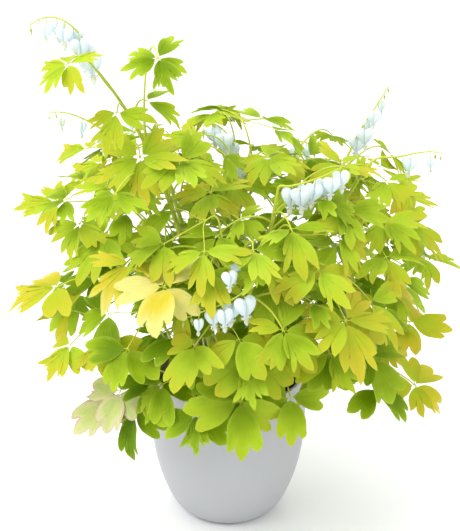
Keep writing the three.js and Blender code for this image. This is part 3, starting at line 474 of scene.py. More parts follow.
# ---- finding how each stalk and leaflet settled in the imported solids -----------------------

BOWS = [(0, 0)] + [bow for out in (12, 24, 38) for bow in ((out, 0), (-out, 0), (0, out))]
TURNS = [(pitch, roll, scale) for scale in (1, 0.85, 0.7)
         for pitch in (0, 12, -12, 25, -25, 40, -40) for roll in (0, 16, -16, 32, -32)]
CORNER_SLACK = 0.08
COARSE_STEPS = 4


def corners_of(node):
    """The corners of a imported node, in millimetres, ready to be searched."""
    vertices = frame["nodes"][node].data.vertices
    corners = KDTree(len(vertices))
    for vertex in vertices:
        corners.insert(vertex.co / MM, vertex.index)
    corners.balance()
    return corners


def settled_bow(frond, corners):
    """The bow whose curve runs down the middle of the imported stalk."""
    first = 1 if frond.is_basal else 0
    last = COARSE_STEPS + first + (2 if len(frond.groups) > 1 else 0)

    def miss(bow):
        handles = frond.handles(bow)
        return sum(abs(corners.find(bezier(handles, i / COARSE_STEPS))[2]
                       - lerp(*SOLID_PETIOLE, (i + first) / last)) for i in range(1, COARSE_STEPS))

    return min(BOWS, key=miss)


def settled_leaflet(leaflet, corners):
    """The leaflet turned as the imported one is, or None where that frond has none."""
    for turn in TURNS:
        tried = leaflet.turned(*turn)
        half = tried.normal * (BLADE_THICK / 2)
        if all(corners.find(tried.point(u, v) + half)[2] < CORNER_SLACK
               for u, v in tried.corners()):
            return tried
    return None


@cache
def stems():
    """Each shoot's stem as the four handles of its curve."""
    return {
        name: (Vector((*row.root, CROWN)), Vector(row.rise), Vector(row.bend), Vector(row.end))
        for name, row in SHOOTS.items()
    }


def slot_of(node):
    return next(s["material_slot"] for s in frame["record"]["subparts"] if s["node"] == node)


@cache
def packed_fronds():
    """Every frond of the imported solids, by node, as it settled there."""
    planned = [(name, plan_frond(row, *leave_stem(stems()[name], row), False))
               for name, shoot in SHOOTS.items() for row in shoot.fronds]
    planned += [(name, plan_frond(row, *leave_crown(row), True)) for name, row in FRONDS.items()]
    found = {name: [] for name in (*SHOOTS, *FRONDS)}
    corners = {name: corners_of(name) for name in found}
    number = 0
    for name, frond in planned:
        frond.bow = settled_bow(frond, corners[name])
        ripe = (RIPE_BY_NODE.get(name, RIPE_BY_SLOT[slot_of(name)])
                + FROND_RIPE_VARIES * vary(number, Trait.FROND_RIPENESS))
        for group in frond.groups:
            plans = plan_leaflets(group, frond.row.leaflets, frond.row.size, number)
            kept = [settled_leaflet(leaflet, corners[name]) for leaflet in plans]
            for i, leaflet in enumerate(kept):
                if leaflet is not None:
                    leaflet.ripe = ripe + ripeness_and_painted_light(leaflet.root, number + i)
            group.leaflets = [leaflet for leaflet in kept if leaflet is not None]
            number += len(plans)
        found[name].append(frond)
    return found


def ripeness_and_painted_light(root, number):
    """Leaves near the top and the outside are riper and painted lighter; those low and inside are
    greener with painted shade.
    """
    height = min(HEIGHT_MOST, (root.z - MIDDLE_HEIGHT) / HEIGHT_SPAN)
    outward = (hypot(root.x, root.y) - MIDDLE_RADIUS) / MIDDLE_RADIUS
    # The height and outward terms paint light on the top and outside of the plant and shade low and
    # inside it.
    return RIPE_AND_PAINTED_LIGHT_UP * height + RIPE_AND_PAINTED_LIGHT_OUT * outward + RIPE_VARIES * vary(number, Trait.RIPENESS)


# ---- the smaller leaves inside the plant ---------------------------------------------------

SAMPLES = ((0.35, 0), (0.6, -0.2), (0.6, 0.2), (0.8, 0), (0.8, -0.3), (0.8, 0.3), (1.0, 0))


class Room:
    """Keeps leaf groups and leaflets apart, by the points already taken."""

    def __init__(self, fronds):
        self.middles = [group.at for frond in fronds for group in frond.groups]
        self.samples = [point for frond in fronds for group in frond.groups
                        for leaflet in group.leaflets for point in self.points(leaflet)]
        self.low, self.high = (corner / MM for corner in CAD_BOX)
        self.rebuild()

    @staticmethod
    def points(leaflet):
        return [leaflet.point(u, v) for u, v in SAMPLES]

    def rebuild(self):
        self.taken = KDTree(len(self.samples))
        for i, point in enumerate(self.samples):
            self.taken.insert(point, i)
        self.taken.balance()

    def has_middle(self, at):
        inside = all(self.low[k] + INNER_MARGIN < at[k] < self.high[k] - INNER_MARGIN
                     for k in (0, 1))
        return (inside and at.z < INNER_TOP
                and all((at - other).length > INNER_CLEAR for other in self.middles))

    def fits(self, leaflet):
        return all(self.taken.find(point)[2] > LEAFLET_CLEAR for point in self.points(leaflet))

    def take(self, frond):
        group = frond.groups[0]
        self.middles.append(group.at)
        self.samples += [point for leaflet in group.leaflets for point in self.points(leaflet)]
        self.rebuild()


def flat_way(degrees):
    turn = radians(degrees)
    return Vector((cos(turn), sin(turn), 0))


def inner_rows():
    """Rows for the small fronds tried on each shoot, and then from the crown."""
    def varied(middle_and_spread, trait):
        middle, spread = middle_and_spread
        return middle + spread * vary(number, trait)

    for index, (name, stem) in enumerate(stems().items()):
        for i in range(SHOOT_INNER):
            number = index * SHOOT_INNER + i
            start = lerp(*INNER_STARTS, (i + 0.5) / SHOOT_INNER)
            reach = lerp(*INNER_REACH, (1 + vary(number, Trait.REACH)) / 2)
            way = flat_way(GOLDEN_ANGLE * i + NEXT_SHOOT_TURN * index)
            tip = bezier(stem, start) + way * reach + UP * varied(SHOOT_RISE, Trait.RISE)
            yield name, FrondRow(start, tuple(tip), 1, INNER_LEAFLETS,
                                 varied(SHOOT_SIZE, Trait.SIZE), varied(SHOOT_DROOP, Trait.DROOP))
    for number in range(CROWN_INNER):
        way = flat_way(GOLDEN_ANGLE * number)
        tip = (way * varied(CROWN_REACH, Trait.CROWN_REACH)
               + UP * varied(CROWN_HEIGHT, Trait.CROWN_HEIGHT))
        root = way * varied(CROWN_ROOT, Trait.CROWN_ROOT)
        yield "crown", FrondRow(
            tuple(root.xy), tuple(tip), 1, INNER_LEAFLETS,
            varied(CROWN_SIZE, Trait.CROWN_SIZE), varied(CROWN_DROOP, Trait.CROWN_DROOP))


@cache
def inner_fronds():
    """Small fronds for each shoot and the crown, only where there is room for them."""
    room = Room([frond for fronds in packed_fronds().values() for frond in fronds])
    found = {name: [] for name in (*SHOOTS, "crown")}
    for number, (name, row) in enumerate(inner_rows()):
        if not room.has_middle(Vector(row.tip)):
            continue
        start = leave_crown(row) if name == "crown" else leave_stem(stems()[name], row)
        frond = plan_frond(row, *start, name == "crown")
        group = frond.groups[0]
        first_number = INNER_NUMBERS + INNER_LEAFLETS * number
        for leaflet in plan_leaflets(group, row.leaflets, row.size, first_number):
            tries = (leaflet.turned(*turn) for turn in TURNS)
            fitting = next((tried for tried in tries if room.fits(tried)), None)
            if fitting is not None:
                # Inner leaves start low on the ramp as painted shade.
                fitting.ripe = INNER_RIPE_WITH_PAINTED_SHADE + ripeness_and_painted_light(fitting.root, number)
                group.leaflets.append(fitting)
        if len(group.leaflets) >= LEAST_LEAFLETS:
            found[name].append(frond)
            room.take(frond)
    return found


# ---- skeletons: stalks as chains of edges, leaflets and flowers as points ------------------

class Skeleton:
    """What a piece grows on. Positions are given in millimetres and kept in metres."""

    ATTRIBUTES = {"radius": "FLOAT", "sprig": "BOOLEAN", "turn": "QUATERNION",
                  "size": "FLOAT_VECTOR", "kind": "INT", "ripe": "FLOAT"}

    def __init__(self):
        self.places = []
        self.edges = []
        self.values = {name: [] for name in self.ATTRIBUTES}

    def add_point(self, place, radius=0.0, sprig=False, turn=(1, 0, 0, 0), size=(1, 1, 1), kind=0,
                  ripe=0.5):
        given = {"radius": radius * MM, "sprig": sprig, "turn": turn,
                 "size": [side * MM for side in size], "kind": kind, "ripe": ripe}
        self.places.append(place * MM)
        for name, value in given.items():
            self.values[name].append(value)

    def add_stalk(self, points, low, high, ripe=0.5, taper=1.0):
        """A stalk along some points. Above 1, its taper leaves it thick for longer."""
        last = len(points) - 1
        for i, point in enumerate(points):
            if i > 0:
                self.edges.append((len(self.places) - 1, len(self.places)))
            self.add_point(point, radius=lerp(low, high, (i / last) ** taper), ripe=ripe)

    def add_sprig(self, place, x_way, y_way, z_way, size, kind, ripe):
        turn = Matrix((x_way, y_way, z_way)).transposed().to_quaternion()
        self.add_point(place, sprig=True, turn=tuple(turn), size=size, kind=kind, ripe=ripe)

    def to_object(self, name):
        mesh = new_mesh(name, self.places, self.edges, [])
        for attribute, kind in self.ATTRIBUTES.items():
            add_attribute(mesh, attribute, self.values[attribute], kind)
        return add_to_scene(name, mesh)


# Side arms and leaflet stalks beside the end of a leaf stalk, and how a side arm arches.
ARM_THICK, STALKLET_THICK = (0.8, 0.7), (0.7, 0.5)
ARM_LEAVE, ARM_ARRIVE = 0.22, 0.35
STALK_STEPS, ARM_STEPS, STEM_STEPS = 14, 7, 24
WIDTH_VARIES, BULK_VARIES = 0.08, 0.5
STEM_TAPER = 1.7
SWAY_SEED = 3.0


def add_frond(skeleton, frond):
    """Puts a frond's stalk, its side arms and its leaflets on a skeleton."""
    path = smooth_path(frond.handles(frond.bow), STALK_STEPS)
    if frond.is_basal:
        path.insert(0, frond.foot - UP * ROOT_DEPTH)
    end, *sides = frond.groups
    if sides:
        path += [frond.fork.lerp(end.at, 0.5), end.at]
    ripe = end.leaflets[0].ripe if end.leaflets else 0.5
    skeleton.add_stalk(path, *PETIOLE, ripe)
    arm_radii, stalklet_radii = (
        [PETIOLE.high * share for share in shares] for shares in (ARM_THICK, STALKLET_THICK))
    for group in sides:
        arm = (group.at - frond.fork).length
        arch = (frond.fork, frond.fork + frond.heading * (ARM_LEAVE * arm),
                group.at - group.heading * (ARM_ARRIVE * arm), group.at)
        skeleton.add_stalk(smooth_path(arch, ARM_STEPS), *arm_radii, ripe)
    for group in frond.groups:
        for i, leaflet in enumerate(group.leaflets):
            number = round(abs(group.at.x) + abs(group.at.y)) + i
            root = leaflet.root + leaflet.along * (LEAFLET_STALK * leaflet.length)
            skeleton.add_stalk([leaflet.root, root], *stalklet_radii, ripe)
            size = LEAFLET_SHARE * leaflet.length
            sizes = (size, size * (1 + WIDTH_VARIES * vary(number, Trait.WIDTH)),
                     size * (1 + BULK_VARIES * vary(number, Trait.BULK)))
            skeleton.add_sprig(root, leaflet.along, leaflet.across, leaflet.normal, sizes,
                               leaf_kind(leaflet, number), min(max(leaflet.ripe, 0), 1))


# ---- leaflets as thin closed blades --------------------------------------------------------

# Outlines as stretches that begin at (along, across) and bow out by a share of their chord,
# from the root round the tips and back. Lengths are shares of the leaflet's own.
END_OUTLINES = (
    ((0, 0, 0.15), (0.58, -0.35, 0.10), (0.66, -0.35, 0.14), (0.85, -0.27, 0.10),
     (0.70, -0.15, 0.12), (0.88, -0.13, 0.10), (1.0, 0.0, 0.14), (0.72, 0.16, 0.10),
     (0.84, 0.28, 0.22), (0.64, 0.37, 0.16)),
    ((0, 0, 0.12), (0.50, -0.31, 0.08), (0.55, -0.26, 0.08), (0.84, -0.34, 0.12),
     (0.66, -0.18, 0.06), (0.50, -0.10, 0.12), (0.80, -0.11, 0.08), (1.0, 0.01, 0.10),
     (0.76, 0.12, 0.08), (0.50, 0.10, 0.13), (0.82, 0.35, 0.14)),
    ((0, 0, 0.13), (0.82, -0.33, 0.14), (0.53, -0.11, 0.13), (0.78, -0.13, 0.08),
     (0.82, -0.07, 0.08), (1.0, -0.01, 0.12), (0.52, 0.11, 0.12), (0.86, 0.31, 0.08),
     (0.64, 0.27, 0.07), (0.60, 0.35, 0.12)),
    ((0, 0, 0.12), (0.44, -0.24, 0.08), (0.48, -0.19, 0.10), (0.76, -0.38, 0.10),
     (0.64, -0.21, 0.07), (0.74, -0.22, 0.10), (0.46, -0.08, 0.10), (0.74, -0.14, 0.08),
     (0.76, -0.07, 0.08), (0.98, 0.02, 0.10), (0.72, 0.10, 0.07), (0.48, 0.08, 0.12),
     (0.78, 0.24, 0.08), (0.66, 0.22, 0.08), (0.72, 0.38, 0.13)),
)
SIDE_OUTLINES = (
    ((0, 0, 0.15), (0.74, -0.31, 0.10), (0.82, -0.27, 0.14), (0.97, -0.13, 0.14),
     (0.68, 0.05, 0.12), (0.88, 0.23, 0.14), (0.78, 0.33, 0.10), (0.70, 0.35, 0.15)),
    ((0, 0, 0.13), (0.76, -0.33, 0.10), (0.62, -0.16, 0.12), (0.86, -0.15, 0.08),
     (1.0, -0.05, 0.12), (0.58, 0.05, 0.13), (0.82, 0.31, 0.15)),
    ((0, 0, 0.13), (0.62, -0.25, 0.07), (0.66, -0.20, 0.08), (0.96, -0.17, 0.14),
     (0.56, 0.01, 0.12), (0.88, 0.27, 0.08), (0.64, 0.24, 0.07), (0.60, 0.35, 0.13)),
    ((0, 0, 0.12), (0.50, -0.22, 0.07), (0.54, -0.17, 0.08), (0.80, -0.30, 0.10),
     (0.70, -0.16, 0.07), (0.96, -0.12, 0.10), (0.78, -0.02, 0.07), (0.50, 0.02, 0.11),
     (0.84, 0.17, 0.08), (0.70, 0.19, 0.07), (0.74, 0.36, 0.13)),
)
SHAPE_COUNT = len(END_OUTLINES)
RING_SHARES = (0.3, 0.62, 0.9, 1.0)
EDGE_BAND = 0.11        # how far the edge's own colour reaches in
EDGE_THINS = 0.5
MOST_STEPS, LEAST_STEPS, STEPS_ACROSS = 6, 2, 10    # points along a stretch of an outline
PLEATS, PLEAT_DEPTH = 11, 0.006
DROOP_BEGINS, DROOP = 0.62, 0.16
RIB_ROUNDNESS = 0.03
MAP_MIDDLE = 0.5        # the rib's place across the leaflet's map
# Each shape's fold along the rib and curl to the tip.
BENDS = ((0.20, 0.20), (0.15, 0.25), (0.24, 0.16), (0.18, 0.30))


def leaf_kind(leaflet, number):
    """The number of a leaflet's shape: ends first, then the right sides, then the left ones."""
    is_young = leaflet.ripe < OLD_RIPENESS
    is_cut = is_young and (leaflet.root.z > TOOTHED_ABOVE or number % LOW_CUT_EVERY == 0)
    shape = 1 + number % (SHAPE_COUNT - 1) if is_cut else 0
    return shape + SHAPE_COUNT * (0, 2, 1)[leaflet.side]


def outline_points(outline, is_left):
    """Corners round an outline, without its root."""
    stretches = [Vector(stretch) for stretch in outline]
    points = []
    for i, start in enumerate(stretches):
        end = stretches[(i + 1) % len(stretches)]
        chord = (end - start).xy
        control = (start.xy + end.xy) / 2 + Vector((chord.y, -chord.x)) * (2 * start.z)
        steps = min(MOST_STEPS, max(LEAST_STEPS, ceil(STEPS_ACROSS * chord.length)))
        for share in (step / steps for step in range(steps)):
            rest = 1 - share
            points.append(
                start.xy * rest * rest + control * 2 * rest * share + end.xy * share * share)
    points = points[1:]
    return [Vector((p.x, -p.y)) for p in reversed(points)] if is_left else points


def blade_mesh(name, outline, is_left, thickness, fold, curl):
    """A leaflet one unit long on the XY plane: root at the origin, tip along X, face to +Z."""
    rim = outline_points(outline, is_left)
    flat = [Vector((0, 0))] + [point * share for share in RING_SHARES for point in rim]
    round_rim = [Vector((0, 0)), *rim, Vector((0, 0))]

    def to_edge(point):
        gaps = []
        for start, end in zip(round_rim, round_rim[1:]):
            nearest, share = intersect_point_line(point, start, end)
            nearest = start if share < 0 else end if share > 1 else nearest.xy
            gaps.append((nearest - point).length)
        return max(0, 1 - min(gaps) / EDGE_BAND)

    def height(u, v):
        reach = hypot(u, v)
        pleat = PLEAT_DEPTH * reach * cos(PLEATS * atan2(v, u))
        droop = DROOP * max(0, reach - DROOP_BEGINS) ** 2
        rise = fold * (hypot(v, RIB_ROUNDNESS) - RIB_ROUNDNESS)
        return rise - curl * u * u + pleat - droop

    edge = [to_edge(point) for point in flat]
    halves = [thickness / 2 * (1 - EDGE_THINS * e) for e in edge]
    tops, lows = ([(p.x, p.y, height(p.x, p.y) + way * h) for p, h in zip(flat, halves)]
                  for way in (1, -1))
    count, rays = len(flat), len(rim)
    rings = [[1 + k * rays + i for i in range(rays)] for k in range(len(RING_SHARES))]
    faces = [(0, rings[0][i], rings[0][i + 1]) for i in range(rays - 1)]
    for inner, outer in zip(rings, rings[1:]):
        faces += [(inner[i], outer[i], outer[i + 1], inner[i + 1]) for i in range(rays - 1)]
    under = [tuple(count + i for i in reversed(face)) for face in faces]
    border = [0, *(ring[0] for ring in rings), *rings[-1][1:],
              *(ring[-1] for ring in rings[-2::-1])]
    walls = [(a, count + a, count + b, b) for a, b in zip(border, border[1:] + border[:1])]
    mesh = new_mesh(name, tops + lows, [], faces + under + walls)
    uv = mesh.uv_layers.new(name="UVMap")
    for loop in mesh.loops:
        spot = flat[loop.vertex_index % count]
        uv.data[loop.index].uv = (spot.x, spot.y + MAP_MIDDLE)
    add_attribute(mesh, "edge", edge * 2)
    add_attribute(mesh, "under", [0.0] * count + [1.0] * count)
    add_attribute(mesh, "reach", [point.length for point in flat] * 2)
    on_border = set(border)
    for line in mesh.edges:
        a, b = line.vertices
        same_side = (a < count) == (b < count)
        line.use_edge_sharp = same_side and a % count in on_border and b % count in on_border
    mesh.update()
    return mesh


def leaf_meshes(thickness):
    """The leaflets' shapes: ends, then right sides, then left ones."""
    thickness /= MM * BLADE_LENGTH
    return [blade_mesh(f"{label}_{i}", outline, label == "left", thickness, *BENDS[i])
            for label, outlines in (("end", END_OUTLINES), ("right", SIDE_OUTLINES),
                                    ("left", SIDE_OUTLINES))
            for i, outline in enumerate(outlines)]


# ---- hearts and buds, one unit wide, hanging from the origin along -Z ----------------------

HEART_TOP = 0.34        # the notch, where the stalk joins, above the heart's own middle

# Levels of one lobe from its foot up: height, middle, half width and half depth.
LOBE = (
    (-0.50, 0.024, 0.030, 0.040), (-0.45, 0.060, 0.068, 0.090), (-0.36, 0.118, 0.128, 0.166),
    (-0.22, 0.180, 0.192, 0.240), (-0.04, 0.232, 0.248, 0.296), (0.14, 0.262, 0.282, 0.318),
    (0.29, 0.272, 0.276, 0.304), (0.40, 0.270, 0.226, 0.246), (0.47, 0.266, 0.144, 0.156),
    (0.505, 0.264, 0.040, 0.044),
)
# Flat petals as stations of a curved strap: across, height, half width, half thickness.
WING = (
    (0.030, -0.42, 0.070, 0.034), (0.080, -0.52, 0.105, 0.044), (0.140, -0.59, 0.120, 0.044),
    (0.200, -0.60, 0.100, 0.036), (0.235, -0.555, 0.060, 0.026), (0.238, -0.51, 0.018, 0.012),
)
INNER_PETALS = (
    (-0.42, 0.060, 0.055), (-0.52, 0.075, 0.055), (-0.61, 0.105, 0.066), (-0.70, 0.145, 0.080),
    (-0.79, 0.150, 0.078), (-0.88, 0.116, 0.062), (-0.96, 0.066, 0.044), (-1.02, 0.016, 0.016),
)
INNER_PETALS_FROM = -0.4
BUD_LEVELS = ((0.0, 0.02), (-0.07, 0.10), (-0.2, 0.15), (-0.36, 0.16), (-0.52, 0.12),
              (-0.66, 0.065), (-0.8, 0.055), (-0.93, 0.06), (-1.0, 0.02))
BRACT_LEVELS = ((0, 0.03), (0.25, 0.13), (0.55, 0.12), (0.8, 0.07), (1.0, 0.01))
POUCH_APART, POUCH_WIDE, POUCH_DEEP = 0.55, 0.62, 0.85
BRACT_RISE, BRACT_THICK = 0.25, 0.03
RING_SIDES, PETAL_SIDES, BRACT_SIDES = 10, 8, 6

# How yellow each level is: 0 is the petal's white and 1 the full mark.
WING_MARK = 0.15
INNER_MARKS = (0, 0, 0.4, 0.6, 0.1, 0, 0, 0)
BUD_MARKS = (0, 0, 0, 0, 0, 0, 0.3, 0.5, 0.5)


class Shell:
    """Closed bodies gathered for one mesh, with a mark on each corner for its colouring."""

    def __init__(self):
        self.corners = []
        self.faces = []
        self.marks = []

    def loft(self, rings, marks):
        first = len(self.corners)
        sides = len(rings[0])
        for ring, mark in zip(rings, marks):
            self.corners += ring
            self.marks += [mark] * sides
        for k in range(len(rings) - 1):
            for i in range(sides):
                a, b = first + k * sides + i, first + k * sides + (i + 1) % sides
                self.faces.append((a, b, b + sides, a + sides))
        self.faces.append(tuple(range(first + sides - 1, first - 1, -1)))
        end = first + (len(rings) - 1) * sides
        self.faces.append(tuple(range(end, end + sides)))

    def to_mesh(self, name):
        mesh = new_mesh(name, self.corners, [], self.faces)
        add_attribute(mesh, "mark", self.marks)
        shell = bmesh.new()
        shell.from_mesh(mesh)
        store(shell, mesh, outward=True).shade_smooth()
        return mesh


def oval(middle, x_way, y_way, sides=RING_SIDES):
    middle, x_way, y_way = Vector(middle), Vector(x_way), Vector(y_way)
    turns = [2 * pi * i / sides for i in range(sides)]
    return [middle + x_way * cos(turn) + y_way * sin(turn) for turn in turns]


def heart_mesh(name, slim, wing_turn, droplet):
    """A heart of two pouched petals with curled tips, over a droplet of two inner petals."""
    shell = Shell()
    deep = 0.5 + 0.5 * slim
    for hand in (-1, 1):
        lobe = [oval((hand * slim * middle, 0, height - HEART_TOP), (slim * half, 0, 0),
                     (0, depth * deep, 0)) for height, middle, half, depth in LOBE]
        shell.loft(lobe, [0] * len(LOBE))
        hinge = Vector((hand * WING[0][0], 0, WING[0][1] - HEART_TOP))
        fold = Quaternion((0, 1, 0), -hand * radians(wing_turn))
        places = [hinge + fold @ (Vector((hand * across, 0, height - HEART_TOP)) - hinge)
                  for across, height, _, _ in WING]
        rings = []
        for i, (_, _, half, thick) in enumerate(WING):
            way = (places[min(i + 1, len(WING) - 1)] - places[max(i - 1, 0)]).normalized()
            through = way.cross(Vector((0, thick, 0))).normalized() * thick
            rings.append(oval(places[i], (0, half, 0), through, PETAL_SIDES))
        shell.loft(rings, [WING_MARK * i / len(WING) for i in range(len(WING))])
    top = INNER_PETALS_FROM
    inner = [oval((0, 0, (height - top) * droplet + top - HEART_TOP), (half, 0, 0), (0, thick, 0))
             for height, half, thick in INNER_PETALS]
    shell.loft(inner, INNER_MARKS)
    return shell.to_mesh(name)


def bud_mesh(name):
    """A closed bud one unit long: two narrow pouches that run out in a blunt tip."""
    shell = Shell()
    for hand in (-1, 1):
        pouch = [oval((hand * POUCH_APART * half, 0, height), (POUCH_WIDE * half, 0, 0),
                      (0, POUCH_DEEP * half, 0), PETAL_SIDES) for height, half in BUD_LEVELS]
        shell.loft(pouch, BUD_MARKS)
    return shell.to_mesh(name)


def bract_mesh(name):
    """A tiny pointed leaf at the foot of a flower's stalk, one unit long along X."""
    shell = Shell()
    rings = [oval((along, 0, BRACT_RISE * along * along), (0, half, 0), (0, 0, BRACT_THICK),
                  BRACT_SIDES) for along, half in BRACT_LEVELS]
    shell.loft(rings, [0.0] * len(rings))
    return shell.to_mesh(name)


OPEN_HEART, YOUNG_HEART, BUD, BRACT = range(4)
YOUNG_BELOW = 12.5      # hearts narrower than this are still young
HEART_SHARE = 1.26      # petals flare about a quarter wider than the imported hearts
BUD_RIPE, BRACT_RIPE, BRACT_LENGTH = 0.85, 0.95, 4.5


# ---- node trees ----------------------------------------------------------------------------

def shown_output(node):
    """The first output of a node that its settings leave in use."""
    return next(socket for socket in node.outputs if socket.enabled)


def opaque(colour):
    return (*colour, 1.0)


class Wiring:
    """Adds nodes to a tree, sets what is a value and links what is a socket."""

    def __init__(self, tree):
        self.tree = tree

    def plug(self, value, socket):
        if isinstance(value, bpy.types.NodeSocket):
            self.tree.links.new(value, socket)
        else:
            socket.default_value = opaque(value) if socket.type == "RGBA" else value

    def add(self, kind, *values, inputs=(), **settings):
        """Values go to the node's shown inputs in order; None leaves one as it is.

        Inputs are pairs of a name and a value, for those that are easier to name.
        """
        node = self.tree.nodes.new(kind)
        for name, value in settings.items():
            setattr(node, name, value)
        for value, socket in zip(values, [socket for socket in node.inputs if socket.enabled]):
            if value is not None:
                self.plug(value, socket)
        for name, value in inputs:
            self.plug(value, node.inputs[name])
        return node

    def math(self, operation, *values):
        return self.add("ShaderNodeMath", *values, operation=operation).outputs[0]

    def plus(self, a, b):
        return self.math("ADD", a, b)

    def minus(self, a, b):
        return self.math("SUBTRACT", a, b)

    def times(self, a, b):
        return self.math("MULTIPLY", a, b)

    def ranged(self, value, low, high, to_low=0.0, to_high=1.0):
        return self.add("ShaderNodeMapRange", value, low, high, to_low, to_high).outputs[0]

    def mixed(self, share, a, b, blend="MIX"):
        return shown_output(
            self.add("ShaderNodeMix", share, a, b, data_type="RGBA", blend_type=blend))

    def number(self, attribute):
        return self.add("ShaderNodeAttribute", attribute_name=attribute).outputs["Fac"]

    def named(self, attribute, kind):
        return shown_output(self.add("GeometryNodeInputNamedAttribute", attribute, data_type=kind))

    def instances(self, points, shapes, kind, turn, size):
        """A shape of the collection on each point: that of its kind, or else each in turn."""
        info = self.add("GeometryNodeCollectionInfo", shapes, True, True)
        return self.add("GeometryNodeInstanceOnPoints", points, None, info.outputs["Instances"],
                        True, kind, turn, size).outputs["Instances"]

    def whole(self, *parts):
        """The parts joined, with every instance made real."""
        joined = self.add("GeometryNodeJoinGeometry")
        for part in parts:
            self.plug(part, joined.inputs[0])
        return self.add("GeometryNodeRealizeInstances", joined.outputs[0]).outputs[0]

    def dressed(self, geometry, material, where=None):
        return self.add("GeometryNodeSetMaterial", geometry, where, material).outputs[0]


def new_tree(name, **inputs):
    """A geometry node tree with named inputs. Returns its wiring and the group's inputs."""
    tree = bpy.data.node_groups.new(name, "GeometryNodeTree")
    tree.interface.new_socket("Geometry", in_out="OUTPUT", socket_type="NodeSocketGeometry")
    for label, kind in {"Geometry": "Geometry", **inputs}.items():
        tree.interface.new_socket(label, in_out="INPUT", socket_type=f"NodeSocket{kind}")
    return Wiring(tree), tree.nodes.new("NodeGroupInput").outputs


@cache
def growth_tree():
    """Rounds each chain of edges into a stalk and sets a leaflet or flower on each sprig point."""
    wires, get = new_tree("Growth", Sprigs="Collection", Sides="Int", Sway="Float", Bends="Float",
                          Seed="Float", Stalk="Material", Sprig="Material")
    parted = wires.add("GeometryNodeSeparateGeometry", get["Geometry"],
                       wires.named("sprig", "BOOLEAN"), domain="POINT")
    chains = wires.add("GeometryNodeMeshToCurve", parted.outputs["Inverted"])
    section = wires.add("GeometryNodeCurvePrimitiveCircle", get["Sides"], mode="RADIUS",
                        inputs=[("Radius", 1)])
    stalks = wires.add("GeometryNodeCurveToMesh", chains.outputs["Curve"], section.outputs["Curve"],
                       wires.named("radius", "FLOAT"), True)
    sprigs = wires.instances(parted.outputs["Selection"], get["Sprigs"], wires.named("kind", "INT"),
                             wires.named("turn", "QUATERNION"), wires.named("size", "FLOAT_VECTOR"))
    noise = wires.add("ShaderNodeTexNoise", noise_dimensions="4D",
                      inputs=[("W", get["Seed"]), ("Scale", get["Bends"])])
    centred = wires.add("ShaderNodeVectorMath", noise.outputs["Color"], (0.5, 0.5, 0.5),
                        operation="SUBTRACT")
    amount = wires.times(get["Sway"], wires.named("reach", "FLOAT"))
    offset = wires.add("ShaderNodeVectorMath", centred.outputs[0], operation="SCALE",
                       inputs=[("Scale", amount)])
    swayed = wires.add("GeometryNodeSetPosition", wires.whole(sprigs, stalks.outputs["Mesh"]),
                       None, None, offset.outputs[0])
    smooth = wires.add("GeometryNodeSetShadeSmooth", swayed.outputs[0], None, True, domain="FACE")
    green = wires.dressed(smooth.outputs[0], get["Stalk"])
    wires.add("NodeGroupOutput",
              wires.dressed(green, get["Sprig"], wires.named("sprig", "BOOLEAN")))
    return wires.tree


FULL_TURN = 6.28


@cache
def litter_tree():
    """Strews crumbs over the top of a block and joins them to it."""
    wires, get = new_tree("Litter", Crumbs="Collection", Lowest="Float", Density="Float",
                          Smallest="Float", Largest="Float", Seed="Int", Soil="Material")
    place = wires.add("ShaderNodeSeparateXYZ", wires.add("GeometryNodeInputPosition").outputs[0])
    is_top = wires.math("GREATER_THAN", place.outputs["Z"], get["Lowest"])
    spots = wires.add("GeometryNodeDistributePointsOnFaces", get["Geometry"], is_top,
                      get["Density"], get["Seed"])
    size = wires.add("FunctionNodeRandomValue", get["Smallest"], get["Largest"], None, get["Seed"])
    turn = wires.add("FunctionNodeRandomValue", (0, 0, 0), (FULL_TURN,) * 3, None, get["Seed"],
                     data_type="FLOAT_VECTOR")
    crumbs = wires.instances(spots.outputs["Points"], get["Crumbs"], None, shown_output(turn),
                             shown_output(size))
    wires.add("NodeGroupOutput", wires.dressed(wires.whole(crumbs, get["Geometry"]), get["Soil"]))
    return wires.tree


def shape_collection(name, meshes):
    """A collection of the shapes that a tree picks from, in the order given."""
    shapes = bpy.data.collections.new(name)
    for i, mesh in enumerate(meshes):
        shapes.objects.link(bpy.data.objects.new(f"{name}_{i:02d}", mesh))
    return shapes


def discard_shapes(shapes):
    for shape in list(shapes.objects):
        bpy.data.objects.remove(shape)
    bpy.data.collections.remove(shapes)


def grown(base, tree, **values):
    """Runs a tree on an object and keeps the result as a plain mesh under the same name."""
    modifier = base.modifiers.new("Grow", "NODES")
    modifier.node_group = tree
    sockets = {item.name: item.identifier for item in tree.interface.items_tree
               if item.in_out == "INPUT"}
    for label, value in values.items():
        modifier[sockets[label]] = value
    graph = bpy.context.evaluated_depsgraph_get()
    mesh = bpy.data.meshes.new_from_object(base.evaluated_get(graph), preserve_all_data_layers=True,
                                           depsgraph=graph)
    base.modifiers.remove(modifier)
    base.data = mesh
    for attribute in ("turn", "size", "kind", "radius", "sprig", "reach"):
        if attribute in mesh.attributes:
            mesh.attributes.remove(mesh.attributes[attribute])
    return base


def finish_piece(piece, slot, *nodes):
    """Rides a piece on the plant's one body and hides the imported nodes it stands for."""
    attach(piece, BODY)
    if nodes:
        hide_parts(*nodes)


# ---- materials -----------------------------------------------------------------------------

# Where each colour of a ramp stands, from the greenest to the palest or driest.
LEAF_STOPS = (0.0, 0.25, 0.5, 0.68, 0.86, 1.0)
DRY_STOPS = (0.05, 0.32, 0.6, 0.9)
STALK_STOPS = (0.3, 0.55, 0.8)

# What mottling, the edge and the way to the tip add to a leaf's ripeness.
MOTTLE_RIPER, EDGE_RIPER, TIP_RIPER, TIP_FROM = 0.34, 0.06, 0.26, 0.55
VEIN_ORIGIN, VEINS, VEIN_WIDTH, VEIN_WANDER, VEIN_TIP = 0.04, 6.5, 0.13, 0.10, 0.45
PALE_VEIN, PALE_EDGE, PALE_EDGE_FROM, PALE_BACK = 0.24, 0.3, 0.7, 0.45
SKIN_SHINE = 0.12

